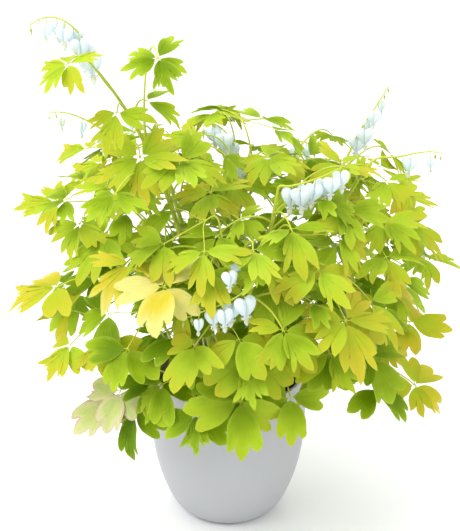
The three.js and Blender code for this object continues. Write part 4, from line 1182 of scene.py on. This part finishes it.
# Noises as features for each metre, and how finely they break up.
MOTTLE, BLOTCH, BLUSH, WANDER = (28, 3), (45, 4), (18, 3), (90,)
LEAF_GRAIN, STALK_GRAIN, PETAL_TONE, PETAL_GRAIN = (260,), (500,), (120,), (900,)
CLOUD_DETAIL, GRAIN_DETAIL, GRAIN_FINER = 5, 4, 40

# How deep each relief is, in metres, and what grain and veins add to it.
LEAF_RELIEF, DRY_RELIEF, STALK_RELIEF, PETAL_RELIEF = 0.0006, 0.001, 0.0003, 0.0002
LEAF_RELIEF_STRENGTH, LEAF_GRAIN_RELIEF, DRY_VEIN_RELIEF = 0.3, 0.35, 0.3
DRY_EDGE, DRY_BLOTCH_FROM, DRY_VEIN = 0.5, 0.44, 0.05
YELLOW_MARK, GLOW_OWN, ROUGH_VARIES = 0.8, 0.5, 0.05


def linear(red, green, blue):
    """A colour given as seen on a screen, from 0 to 255, as linear numbers."""
    return tuple(((c / 255 + 0.055) / 1.055) ** 2.4 if c > 10 else c / 3295
                 for c in (red, green, blue))


def blank_material(name):
    material = bpy.data.materials.new(name)
    material.use_nodes = True
    material.node_tree.nodes.clear()
    return material, Wiring(material.node_tree)


def object_noise(wires, scale, detail=2.0):
    spot = wires.add("ShaderNodeTexCoord").outputs["Object"]
    return wires.add("ShaderNodeTexNoise", spot,
                     inputs=[("Scale", scale), ("Detail", detail)]).outputs["Fac"]


def bumped(wires, height, distance, *more):
    return wires.add("ShaderNodeBump",
                     inputs=[("Distance", distance), ("Height", height), *more]).outputs["Normal"]


def ramp(wires, share, stops, *colours):
    node = wires.add("ShaderNodeValToRGB", share)
    elements = node.color_ramp.elements
    while len(elements) < len(stops):
        elements.new(0.5)
    for element, place, colour in zip(elements, stops, colours):
        element.position = place
        element.color = opaque(colour)
    return node.outputs["Color"]


def leaf_spot(wires):
    """Where a point lies on its leaflet's map: X along it from the root and Y across it."""
    uv = wires.add("ShaderNodeUVMap", uv_map="UVMap").outputs["UV"]
    return wires.add("ShaderNodeSeparateXYZ", uv).outputs


def leaf_veins(wires, spot):
    """Lines that fan out from the leaflet's root, from 0 between them to 1 on them."""
    along = wires.plus(spot["X"], VEIN_ORIGIN)
    angle = wires.math("ARCTAN2", wires.minus(spot["Y"], MAP_MIDDLE), along)
    wander = wires.times(wires.minus(object_noise(wires, *WANDER), 0.5), VEIN_WANDER)
    fan = wires.math("PINGPONG", wires.times(wires.plus(angle, wander), VEINS), 0.5)
    fade = wires.ranged(along, 0.1, 1.0, 1.0, VEIN_TIP)
    return wires.times(wires.ranged(fan, 0.0, VEIN_WIDTH, 1.0, 0.0), fade)


def thin_surface(wires, normal, colour, glow_colour, glow, roughness):
    """A thin leaf or petal: it reflects on one side and glows with the light from the other."""
    skin = wires.add("ShaderNodeBsdfPrincipled", inputs=[
        ("Base Color", colour), ("Normal", normal), ("Roughness", roughness),
        ("Specular IOR Level", SKIN_SHINE)])
    through = wires.add("ShaderNodeBsdfTranslucent", glow_colour, normal)
    mixed = wires.add("ShaderNodeMixShader", glow, skin.outputs["BSDF"], through.outputs["BSDF"])
    wires.add("ShaderNodeOutputMaterial", mixed.outputs["Shader"])


def solid_surface(wires, normal, colour, roughness, *more):
    skin = wires.add("ShaderNodeBsdfPrincipled", inputs=[
        ("Base Color", colour), ("Roughness", roughness), ("Normal", normal), *more])
    wires.add("ShaderNodeOutputMaterial", skin.outputs["BSDF"])


@cache
def leaf_material():
    """Golden leaves: darker green as painted shade, lime as painted light, and yellow as they
    ripen.
    """
    leaf = bpy.context.scene.plant_leaf
    material, wires = blank_material("golden_leaf")
    spot = leaf_spot(wires)
    veins = leaf_veins(wires, spot)
    edge = wires.number("edge")
    ripeness = wires.number("ripe")
    for amount, share in ((wires.minus(object_noise(wires, *MOTTLE), 0.5), MOTTLE_RIPER),
                          (edge, EDGE_RIPER), (wires.minus(spot["X"], TIP_FROM), TIP_RIPER)):
        ripeness = wires.plus(ripeness, wires.times(amount, share))
    # The shade, green and lime stops paint shade and light; the gold, yellow and cream stops are
    # ripening.
    face = ramp(wires, ripeness, LEAF_STOPS, leaf.shade, leaf.green, leaf.lime, leaf.gold,
                leaf.yellow, leaf.cream)
    pale = wires.math("MAXIMUM", wires.times(veins, PALE_VEIN),
                      wires.ranged(edge, PALE_EDGE_FROM, 1.0, 0.0, PALE_EDGE))
    veined = wires.mixed(pale, face, leaf.vein)
    colour = wires.mixed(wires.times(wires.number("under"), PALE_BACK), veined, leaf.underside)
    relief = wires.minus(wires.times(object_noise(wires, *LEAF_GRAIN), LEAF_GRAIN_RELIEF), veins)
    normal = bumped(wires, relief, LEAF_RELIEF, ("Strength", LEAF_RELIEF_STRENGTH))
    thin_surface(wires, normal, colour, wires.mixed(GLOW_OWN, veined, leaf.glow),
                 glow=leaf.translucency, roughness=0.5)
    return material


@cache
def withered_material():
    """A leaf that has dried from green to beige, browner toward its edges."""
    leaf = bpy.context.scene.plant_leaf
    material, wires = blank_material("withered_leaf")
    veins = leaf_veins(wires, leaf_spot(wires))
    blotch = object_noise(wires, *BLOTCH)
    dryness = wires.plus(wires.times(wires.number("edge"), DRY_EDGE),
                         wires.minus(blotch, DRY_BLOTCH_FROM))
    face = ramp(wires, dryness, DRY_STOPS, leaf.dry_green, leaf.dry_beige, leaf.dry_brown,
                leaf.dry_edge)
    colour = wires.mixed(wires.times(veins, DRY_VEIN), face, leaf.dry_brown, "MULTIPLY")
    normal = bumped(wires, wires.plus(blotch, wires.times(veins, DRY_VEIN_RELIEF)), DRY_RELIEF)
    thin_surface(wires, normal, colour, colour, glow=0.35, roughness=0.75)
    return material


@cache
def stalk_material():
    """Smooth yellow-green stems with a faint blush."""
    leaf = bpy.context.scene.plant_leaf
    material, wires = blank_material("green_stalk")
    colour = ramp(wires, object_noise(wires, *BLUSH), STALK_STOPS, leaf.stalk, leaf.stalk_light,
                  leaf.stalk_blush)
    normal = bumped(wires, object_noise(wires, *STALK_GRAIN), STALK_RELIEF)
    solid_surface(wires, normal, colour, 0.42, ("Subsurface Weight", 0.15),
                  ("Subsurface Scale", 0.002))
    return material


@cache
def petal_material():
    """Waxy white hearts, greener when young, with yellow in the droplet."""
    flower = bpy.context.scene.plant_flower
    material, wires = blank_material("white_petal")
    white = wires.mixed(object_noise(wires, *PETAL_TONE), flower.petal, flower.petal_shade)
    green = wires.mixed(wires.number("ripe"), white, flower.bud)
    colour = wires.mixed(wires.times(wires.number("mark"), YELLOW_MARK), green, flower.mark)
    normal = bumped(wires, object_noise(wires, *PETAL_GRAIN), PETAL_RELIEF)
    thin_surface(wires, normal, colour, colour, glow=flower.translucency, roughness=0.35)
    return material


def plain_material(name, colour, other, roughness, scale, relief):
    """An opaque surface that shades from one colour to another, with fine relief."""
    material, wires = blank_material(name)
    cloud = object_noise(wires, scale, CLOUD_DETAIL)
    normal = bumped(wires, object_noise(wires, GRAIN_FINER * scale, GRAIN_DETAIL), relief)
    solid_surface(wires, normal, wires.mixed(cloud, colour, other), wires.ranged(
        cloud, 0.3, 0.7, roughness - ROUGH_VARIES, roughness + ROUGH_VARIES))
    return material


# ---- pot, nursery pot and soil -------------------------------------------------------------

POT_HEIGHT, POT_FOOT, POT_CORNER, POT_CORNER_HEIGHT = 200, 54, (68.7, 80), 26
POT_BELLY, POT_BELLY_HEIGHT, POT_RIM, POT_WALL, POT_FLOOR = 102.3, 154, 100, 4, 5
LINER_FOOT, LINER_HEIGHT, LINER_RADII, LINER_WALL = 5.35, 165, (51, 89), 1.6
LINER_LIP, LINER_LIP_HEIGHT = 2.6, 9
LINER_FLOOR = 2
LIP_BEVEL, LIP_ROUND, LIP_UNDER = 0.4, 0.8, 1.2
BELLY_POWER, FOOT_BEVEL, FLOOR_ROUND = 2.5, 1.5, 2
SOIL_TOP, SOIL_DOME, SOIL_SHOULDER, SOIL_RADIUS = 174, 5, 4, 86.5
SOIL_CLEAR, SOIL_SIDE_CLEAR, DOME_STEPS = 0.35, 0.4, 12
WALL_STEPS, WALL_STEP, CORNER_STEPS, RIM_STEPS, FLOOR_STEPS = 26, 6.5, 8, 4, 5
CRUMB_ROUGH, CRUMB_FLAT = 0.3, 0.7


def pot_radius(height):
    if height < POT_BELLY_HEIGHT:
        below = (POT_BELLY_HEIGHT - height) / (POT_BELLY_HEIGHT - POT_CORNER_HEIGHT)
        return POT_BELLY - (POT_BELLY - POT_CORNER[1]) * below ** BELLY_POWER
    above = (height - POT_BELLY_HEIGHT) / (POT_HEIGHT - POT_BELLY_HEIGHT)
    return POT_BELLY - (POT_BELLY - POT_RIM) * above * above


def round_corner(start, control, end, steps):
    start, control, end = Vector(start), Vector(control), Vector(end)
    shares = [i / steps for i in range(steps + 1)]
    return [tuple(start * (1 - s) ** 2 + control * 2 * s * (1 - s) + end * s * s) for s in shares]


def turned_mesh(name, profile, sides):
    """A closed body turned about Z from a profile that starts and ends on the axis."""
    shell = bmesh.new()
    turns = [2 * pi * i / sides for i in range(sides)]
    loops = [[shell.verts.new((radius * cos(turn) * MM, radius * sin(turn) * MM, height * MM))
              for turn in turns] for radius, height in profile if radius > 0]
    for low, high in zip(loops, loops[1:]):
        for i in range(sides):
            j = (i + 1) % sides
            shell.faces.new((low[i], low[j], high[j], high[i]))
    for loop, (_, height) in ((loops[0], profile[0]), (loops[-1], profile[-1])):
        pole = shell.verts.new((0, 0, height * MM))
        for i in range(sides):
            shell.faces.new((pole, loop[i], loop[(i + 1) % sides]))
    mesh = store(shell, bpy.data.meshes.new(name), outward=True)
    mesh.shade_smooth()
    return mesh


def pot_profile(lip):
    corner = round_corner((POT_FOOT, 0), (POT_CORNER[0], 0), (POT_CORNER[1], POT_CORNER_HEIGHT),
                          CORNER_STEPS)
    heights = [POT_CORNER_HEIGHT + WALL_STEP * i for i in range(1, WALL_STEPS + 1)]
    wall = [(pot_radius(z), z) for z in heights if z < POT_HEIGHT - lip]
    out, inner = POT_RIM, POT_RIM - POT_WALL
    top, under = POT_HEIGHT, POT_HEIGHT - lip
    rim = round_corner((out, under), (out, top), (out - lip, top), RIM_STEPS)
    rim += round_corner((inner + lip, top), (inner, top), (inner, under), RIM_STEPS)
    inside = [(pot_radius(z) - POT_WALL, z) for z in reversed(heights) if z < POT_HEIGHT - 2 * lip]
    floor = round_corner((POT_CORNER[1] - POT_WALL, POT_CORNER_HEIGHT),
                         (POT_CORNER[0] - FLOOR_ROUND, POT_FLOOR), (POT_FOOT, POT_FLOOR),
                         FLOOR_STEPS)
    return [(0, 0), (POT_FOOT - FOOT_BEVEL, 0), *corner, *wall, *rim, *inside, *floor,
            (0, POT_FLOOR)]


def liner_radius(height):
    return lerp(*LINER_RADII, (height - LINER_FOOT) / LINER_HEIGHT)


def liner_profile():
    floor, top = LINER_FOOT + LINER_FLOOR, LINER_FOOT + LINER_HEIGHT
    under = top - LINER_LIP_HEIGHT
    out = LINER_RADII[1] + LINER_LIP
    outer = [(liner_radius(z), z) for z in (LINER_FOOT, LINER_FOOT + 1, 40, 80, 120, under)]
    lip = [(out - LIP_BEVEL, under + LIP_BEVEL), (out, under + LIP_UNDER), (out, top - LIP_ROUND),
           (out - LIP_ROUND, top), (LINER_RADII[1] + LIP_BEVEL, top),
           (LINER_RADII[1] - LIP_BEVEL, top - LIP_ROUND)]
    inner = [(liner_radius(z) - LINER_WALL, z) for z in (under, 120, 80, 40, floor)]
    return [(0, LINER_FOOT), *outer, *lip, *inner, (0, floor)]


def soil_profile():
    """Fills the liner: up its wall, in at the top and over a low dome."""
    low = LINER_FOOT + LINER_FLOOR + SOIL_CLEAR
    clear = LINER_WALL + SOIL_SIDE_CLEAR
    shoulder = SOIL_TOP - SOIL_SHOULDER
    wall = [(liner_radius(z) - clear, z) for z in (low, 60, 120, SOIL_TOP - 2 * SOIL_SHOULDER)]
    dome = [(SOIL_RADIUS * cos(turn), shoulder + (SOIL_SHOULDER + SOIL_DOME) * sin(turn))
            for turn in (radians(90 * i / DOME_STEPS) for i in range(1, DOME_STEPS))]
    return [(0, low), *wall, (SOIL_RADIUS, shoulder), *dome, (0, SOIL_TOP + SOIL_DOME)]


def crumb_mesh(name, stretch, seed):
    """A broken crumb, about one unit across."""
    shell = bmesh.new()
    bmesh.ops.create_icosphere(shell, subdivisions=1, radius=0.5)
    for i, vertex in enumerate(shell.verts):
        vertex.co *= 1 + CRUMB_ROUGH * vary(i + seed, Trait.CRUMB)
        vertex.co.x *= stretch
        vertex.co.z *= CRUMB_FLAT
    return store(shell, bpy.data.meshes.new(name))


# ---- settings ------------------------------------------------------------------------------

def colour_property(name, description, red, green, blue):
    return FloatVectorProperty(name=name, description=description, subtype="COLOR", size=3, min=0,
                               max=1, default=linear(red, green, blue))


def share_property(name, description, default):
    return FloatProperty(name=name, description=description, subtype="FACTOR", min=0, max=1,
                         default=default)


def length_property(name, description, default, low, high):
    return FloatProperty(name=name, description=description, unit="LENGTH", min=low, max=high,
                         default=default)


def power_property(name, description, default):
    return FloatProperty(name=name, description=description, unit="POWER", min=0, max=500,
                         default=default)


class LeafSettings(PropertyGroup):
    thickness: length_property(
        "Thickness", "Thickness of a leaflet in its middle", 0.0005, 0.0001, 0.002)
    sway: length_property("Sway", "How far leaflets bend out of their even shape", 0.018, 0, 0.05)
    sway_scale: FloatProperty(
        name="Sway Scale", description="Bends for each metre of plant", default=25, min=1, max=100)
    stalk_sides: IntProperty(
        name="Stalk Sides", description="Sides of a stalk's round section",
        default=8, min=3, max=32)
    translucency: share_property("Translucency", "Share of light that passes through a leaf", 0.45)
    # The shade, green and lime colours are painted shade and painted light: darker for leaves deep
    # in the plant, lime for leaves in the light.
    shade: colour_property("Shade Green", "Leaves deep in the plant", 56, 110, 4)
    green: colour_property("Green", "Leaves in half shade", 120, 153, 4)
    lime: colour_property("Lime", "Leaves in full light", 187, 212, 50)
    gold: colour_property("Gold", "Leaves that start to ripen", 208, 206, 52)
    yellow: colour_property("Yellow", "Ripe leaves", 230, 209, 66)
    cream: colour_property("Cream", "The palest leaves", 240, 230, 148)
    vein: colour_property("Veins", "Tint of the veins over the leaf", 208, 220, 100)
    underside: colour_property("Underside", "The paler back of a leaf", 188, 208, 92)
    glow: colour_property("Glow", "Light that comes through a leaf", 212, 224, 40)
    dry_green: colour_property("Dry Green", "What is still green of a withered leaf", 206, 216, 138)
    dry_beige: colour_property("Dry Beige", "A withered leaf's face", 222, 220, 170)
    dry_brown: colour_property("Dry Brown", "A withered leaf's dry parts", 216, 190, 166)
    dry_edge: colour_property("Dry Edge", "A withered leaf's edge", 190, 146, 124)
    stalk: colour_property("Stalk", "Stems and leaf stalks", 162, 178, 34)
    stalk_light: colour_property("Stalk Light", "Lighter stretches of stems", 190, 200, 56)
    stalk_blush: colour_property("Stalk Blush", "The blush on stems", 184, 178, 70)


class FlowerSettings(PropertyGroup):
    translucency: share_property("Translucency", "Share of light that passes through a petal", 0.4)
    petal: colour_property("Petal", "Open hearts", 241, 249, 252)
    petal_shade: colour_property("Petal Shade", "The cooler parts of a heart", 235, 245, 250)
    bud: colour_property("Bud", "Closed buds", 196, 214, 110)
    mark: colour_property("Mark", "The marks in a heart's droplet", 244, 216, 84)


class PotSettings(PropertyGroup):
    sides: IntProperty(
        name="Sides", description="Sides of the round pots", default=96, min=24, max=256)
    lip: length_property("Lip Radius", "Radius of the pot's rounded rim", 0.0016, 0.0005, 0.002)
    glaze: colour_property("Glaze", "The cover pot", 172, 173, 177)
    glaze_cloud: colour_property("Glaze Cloud", "Faint clouds in the glaze", 176, 177, 180)
    liner: colour_property("Liner", "The nursery pot", 26, 26, 30)
    liner_worn: colour_property("Worn Liner", "Lighter patches of the nursery pot", 38, 38, 42)
    soil: colour_property("Soil", "Dark crumbs", 42, 30, 22)
    soil_light: colour_property("Soil Light", "Lighter crumbs", 96, 74, 54)
    crumb_density: FloatProperty(
        name="Crumb Density", description="Crumbs for each square metre of soil",
        default=42000, min=0, max=200000)
    smallest_crumb: length_property(
        "Smallest Crumb", "Width of the smallest crumb", 0.002, 0.0005, 0.01)
    largest_crumb: length_property(
        "Largest Crumb", "Width of the largest crumb", 0.006, 0.001, 0.02)


class StageSettings(PropertyGroup):
    floor: colour_property("Floor", "The pale floor", 246, 247, 248)
    sky: FloatProperty(
        name="Sky", description="Strength of the even light", default=1.02, min=0, max=5)
    key: power_property("Key Light", "Power of the main soft light", 74)
    fill: power_property("Fill Light", "Power of the light from the other side", 9)
    back: power_property("Back Light", "Power of the light that shines through the leaves", 26)
    camera_height: length_property(
        "Camera Height", "Height of the camera over the floor", 1.028, 0, 10)
    camera_distance: length_property(
        "Camera Distance", "Distance of the camera in front of the pot's middle", 1.604, 0.1, 10)
    camera_pitch: FloatProperty(
        name="Camera Pitch", description="How far the camera looks down",
        default=radians(23), min=0, max=pi / 2, subtype="ANGLE")


# ---- operators -----------------------------------------------------------------------------

class PLANT_OT_stage(Operator):
    """Sets the pale floor, the soft lights and the camera"""

    bl_idname = "plant.stage"
    bl_label = "Stage"

    FLOOR_SIZE = 14.0
    LENS, SENSOR, CLIP_END = 93.02, 36.0, 40
    CAMERA_ASIDE = 0.0026
    AIM = Vector((0, 0, 0.35))
    # Each soft light's name, place and width.
    LIGHTS = (("key", (-1.7, -0.9, 2.6), 2.0), ("fill", (1.7, -0.9, 1.7), 1.6),
              ("back", (0.4, 1.6, 2.4), 1.8))

    def execute(self, context):
        stage = context.scene.plant_stage
        self.add_floor(stage)
        for name, place, size in self.LIGHTS:
            self.add_light(f"{name}_light", place, size, getattr(stage, name))
        world = bpy.data.worlds.new("soft_white")
        world.use_nodes = True
        background = world.node_tree.nodes["Background"].inputs
        background["Color"].default_value = (1, 1, 1, 1)
        background["Strength"].default_value = stage.sky
        context.scene.world = world
        context.scene.view_settings.view_transform = "Standard"
        data = bpy.data.cameras.new("camera")
        data.lens, data.sensor_width, data.clip_end = self.LENS, self.SENSOR, self.CLIP_END
        camera = add_to_scene("camera", data)
        camera.location = (self.CAMERA_ASIDE, -stage.camera_distance, stage.camera_height)
        camera.rotation_euler = (pi / 2 - stage.camera_pitch, 0, 0)
        context.scene.camera = camera
        return {"FINISHED"}

    def add_floor(self, stage):
        half = self.FLOOR_SIZE / 2
        corners = [(-half, -half, 0), (half, -half, 0), (half, half, 0), (-half, half, 0)]
        floor = add_to_scene("floor", new_mesh("floor", corners, [], [(0, 1, 2, 3)]))
        floor.data.materials.append(plain_material(
            "pale_floor", stage.floor, stage.floor, roughness=0.8, scale=6, relief=0.0002))

    def add_light(self, name, place, size, power):
        data = bpy.data.lights.new(name, "AREA")
        data.shape, data.size, data.energy = "DISK", size, power
        light = add_to_scene(name, data)
        light.location = place
        light.rotation_euler = (self.AIM - light.location).to_track_quat("-Z", "Y").to_euler()


class PLANT_OT_pots(Operator):
    """Turns the cover pot and the nursery pot inside it"""

    bl_idname = "plant.pots"
    bl_label = "Pots"

    def execute(self, context):
        pot = context.scene.plant_pot
        glaze = plain_material("grey_glaze", pot.glaze, pot.glaze_cloud, roughness=0.5, scale=7,
                               relief=0.00008)
        plastic = plain_material("black_plastic", pot.liner, pot.liner_worn, roughness=0.45,
                                 scale=30, relief=0.00006)
        for name, profile, material, slot, node in (
                ("grey_cover_pot", pot_profile(pot.lip / MM), glaze, "pot", "cover_pot"),
                ("black_nursery_pot", liner_profile(), plastic, "liner", "nursery_pot")):
            piece = add_to_scene(name, turned_mesh(name, profile, pot.sides))
            piece.data.materials.append(material)
            finish_piece(piece, slot, node)
        return {"FINISHED"}


class PLANT_OT_soil(Operator):
    """Fills the nursery pot with crumbly soil"""

    bl_idname = "plant.soil"
    bl_label = "Soil"

    SIDES = 72
    RIPPLE, RIPPLE_FULL = 0.0006, 0.02      # height, and distance from the middle where it is full
    LOBES, WAVES = (5, 7), (90, 120)        # ripples round the middle and for each metre
    SEED = 4
    CRUMB_STRETCHES = (1.0, 1.7, 1.2)

    def execute(self, context):
        pot = context.scene.plant_pot
        lowest = (SOIL_TOP - SOIL_SHOULDER) * MM
        block = turned_mesh("crumbly_soil", soil_profile(), self.SIDES)
        for vertex in block.vertices:
            if vertex.co.z > lowest:
                vertex.co.z += self.ripple(vertex.co)
        crumbs = shape_collection("crumbs", [
            crumb_mesh(f"crumb_{i}", stretch, 40 * i)
            for i, stretch in enumerate(self.CRUMB_STRETCHES)])
        soil = grown(
            add_to_scene("crumbly_soil", block), litter_tree(), Crumbs=crumbs, Lowest=lowest,
            Density=pot.crumb_density, Smallest=pot.smallest_crumb, Largest=pot.largest_crumb,
            Seed=self.SEED, Soil=plain_material(
                "dark_soil", pot.soil, pot.soil_light, roughness=0.9, scale=160, relief=0.0012))
        discard_shapes(crumbs)
        finish_piece(soil, "soil", "potting_soil")
        return {"FINISHED"}

    def ripple(self, place):
        way = atan2(place.y, place.x)
        waves = (sin(self.LOBES[0] * way + self.WAVES[0] * place.x)
                 + cos(self.LOBES[1] * way - self.WAVES[1] * place.y))
        return self.RIPPLE * waves * min(1, place.xy.length / self.RIPPLE_FULL)


def grow(name, skeleton, shapes, material, sway):
    leaf = bpy.context.scene.plant_leaf
    return grown(skeleton.to_object(name), growth_tree(), Sprigs=shapes, Sides=leaf.stalk_sides,
                 Sway=sway, Bends=leaf.sway_scale, Seed=SWAY_SEED, Stalk=stalk_material(),
                 Sprig=material)


def grow_leaves(name, fronds, shapes, material, stem=None):
    """Grows a leafy piece from its fronds and, on a shoot, its stem."""
    skeleton = Skeleton()
    if stem:
        root = stem[0] - UP * ROOT_DEPTH
        skeleton.add_stalk([root, *smooth_path(stem, STEM_STEPS)], *STEM, taper=STEM_TAPER)
    for frond in fronds:
        add_frond(skeleton, frond)
    return grow(name, skeleton, shapes, material, bpy.context.scene.plant_leaf.sway)


class PLANT_OT_shoots(Operator):
    """Grows the branching shoots with their leaves"""

    bl_idname = "plant.shoots"
    bl_label = "Shoots"

    def execute(self, context):
        shapes = shape_collection("leaflets", leaf_meshes(context.scene.plant_leaf.thickness))
        for name, stem in stems().items():
            fronds = (*packed_fronds()[name], *inner_fronds()[name])
            piece = grow_leaves(f"leafy_{name}", fronds, shapes, leaf_material(), stem)
            finish_piece(piece, slot_of(name), name)
        discard_shapes(shapes)
        return {"FINISHED"}


class PLANT_OT_fronds(Operator):
    """Grows the fronds that rise from the crown"""

    bl_idname = "plant.fronds"
    bl_label = "Fronds"

    def execute(self, context):
        shapes = shape_collection("leaflets", leaf_meshes(context.scene.plant_leaf.thickness))
        for name in FRONDS:
            material = withered_material() if name in DRY_FRONDS else leaf_material()
            piece = grow_leaves(f"leafy_{name}", packed_fronds()[name], shapes, material)
            finish_piece(piece, slot_of(name), name)
        inner = grow_leaves("small_inner_fronds", inner_fronds()["crown"], shapes, leaf_material())
        finish_piece(inner, "leaf_lime")
        discard_shapes(shapes)
        return {"FINISHED"}


class PLANT_OT_sprays(Operator):
    """Hangs the sprays of white hearts from the shoots' ends"""

    bl_idname = "plant.sprays"
    bl_label = "Flower Sprays"

    PATH_STEPS, ARCH_STEPS = 15, 6
    ARCH_JOINS, ARCH_LEAD = 0.9, 0.55       # shares of the first heart's place and the reach
    SETS_OUT = 2            # how far the stalk goes straight on before it curves
    FLOWER_OUT, FLOWER_DOWN = 0.8, 0.7      # handles of a flower's own stalk
    BRACT_AHEAD, BRACT_UP = 0.6, 0.2

    def execute(self, context):
        shapes = shape_collection("flowers", [
            heart_mesh("open_heart", slim=1.0, wing_turn=0, droplet=1.0),
            heart_mesh("young_heart", slim=0.72, wing_turn=-55, droplet=0.85),
            bud_mesh("bud"), bract_mesh("bract")])
        for name, row in SPRAYS.items():
            spray = grow(f"heart_{name}", self.spray_skeleton(row), shapes, petal_material(), 0.0)
            finish_piece(spray, slot_of(name), name)
        discard_shapes(shapes)
        return {"FINISHED"}

    def spray_skeleton(self, row):
        stem = stems()[row.shoot]
        onward = bezier_way(stem, 1)
        foot = stem[3] + onward * GAP
        curve = (foot + onward * self.SETS_OUT, Vector(row.out), Vector(row.over), Vector(row.tip))
        skeleton = Skeleton()
        skeleton.add_stalk(self.spray_path(foot, onward, curve, row.begins), *PEDUNCLE)
        hearts_end = SPRAY_ENDS if row.buds else BARE_SPRAY_ENDS
        for i in range(row.hearts):
            share = i / (row.hearts - 1)
            self.add_flower(skeleton, curve, i, row.hearts, lerp(row.begins, hearts_end, share),
                            lerp(row.first, row.last, share), None)
        for i in range(row.buds):
            size = lerp(*BUD_SIZES, i / row.buds) * row.last
            self.add_flower(skeleton, curve, row.hearts + i, row.hearts,
                            lerp(hearts_end, 1, (i + 1) / row.buds), None, size)
        return skeleton

    def spray_path(self, foot, onward, curve, begins):
        """A spray's stalk: a small arch out of the shoot, then its own curve."""
        joins = self.ARCH_JOINS * begins
        at = bezier(curve, joins)
        lead = self.ARCH_LEAD * (at - foot).length
        arch = (foot, foot + onward * lead, at - bezier_way(curve, joins) * lead, at)
        shares = [lerp(joins, 1, i / self.PATH_STEPS) for i in range(1, self.PATH_STEPS + 1)]
        return smooth_path(arch, self.ARCH_STEPS) + [bezier(curve, share) for share in shares]

    def add_flower(self, skeleton, curve, i, hearts, share, width, bud):
        """Hangs one heart or bud by its own stalk, with a bract where that leaves the spray."""
        on = bezier(curve, share)
        way = level(bezier_way(curve, share))
        sway = Quaternion(UP, radians(SWAY * vary(i + hearts, Trait.FACING)))
        hang = (way * (LEAN * vary(i, Trait.LEAN)) - UP).normalized()
        across = sway @ (way - hang * way.dot(hang)).normalized()
        across = (across - hang * across.dot(hang)).normalized()
        drop, aside = (HEART_DROP, HEART_ASIDE) if width else (BUD_DROP, BUD_ASIDE)
        out = way.cross(UP) * (1 if i % 2 else -1)
        notch = on + hang * drop + out * aside
        arch = (on, on + out * (self.FLOWER_OUT * aside),
                notch - hang * (self.FLOWER_DOWN * drop), notch)
        skeleton.add_stalk(smooth_path(arch, self.ARCH_STEPS), PEDICEL_RADIUS, PEDICEL_RADIUS)
        face = across.cross(hang)
        kind, ripe = BUD, BUD_RIPE
        if width:
            kind = OPEN_HEART if width >= YOUNG_BELOW else YOUNG_HEART
            ripe = max(0.0, (YOUNG_BELOW - width) / YOUNG_BELOW)
        size = (width or bud) * HEART_SHARE
        skeleton.add_sprig(notch, across, face, -hang, [size] * 3, kind, ripe)
        bract_way = (out + way * self.BRACT_AHEAD + UP * self.BRACT_UP).normalized()
        bract_side = UP.cross(bract_way).normalized()
        skeleton.add_sprig(on, bract_way, bract_side, bract_way.cross(bract_side),
                            [BRACT_LENGTH] * 3, BRACT, BRACT_RIPE)


class PLANT_PT_panel(Panel):
    """Lists the plant's pieces and their settings"""

    bl_idname = "PLANT_PT_panel"
    bl_label = "Bleeding Heart"
    bl_space_type = "VIEW_3D"
    bl_region_type = "UI"
    bl_category = "Plant"

    def draw(self, context):
        scene = context.scene
        for settings in (scene.plant_leaf, scene.plant_flower, scene.plant_pot, scene.plant_stage):
            box = self.layout.box()
            for label in settings.__annotations__:
                box.prop(settings, label)
        for operator in OPERATORS:
            self.layout.operator(operator.bl_idname)


OPERATORS = (PLANT_OT_stage, PLANT_OT_pots, PLANT_OT_soil, PLANT_OT_shoots, PLANT_OT_fronds,
             PLANT_OT_sprays)
SETTINGS = {
    "plant_leaf": LeafSettings,
    "plant_flower": FlowerSettings,
    "plant_pot": PotSettings,
    "plant_stage": StageSettings,
}


def register():
    for kind in (*SETTINGS.values(), *OPERATORS, PLANT_PT_panel):
        bpy.utils.register_class(kind)
    for name, kind in SETTINGS.items():
        setattr(bpy.types.Scene, name, PointerProperty(type=kind))


def unregister():
    for name in SETTINGS:
        delattr(bpy.types.Scene, name)
    for kind in (PLANT_PT_panel, *reversed(OPERATORS), *reversed(SETTINGS.values())):
        bpy.utils.unregister_class(kind)


def main():
    register()
    bpy.ops.plant.stage()
    bpy.ops.plant.pots()
    bpy.ops.plant.soil()
    bpy.ops.plant.shoots()
    bpy.ops.plant.fronds()
    bpy.ops.plant.sprays()


if __name__ == "__main__":
    main()
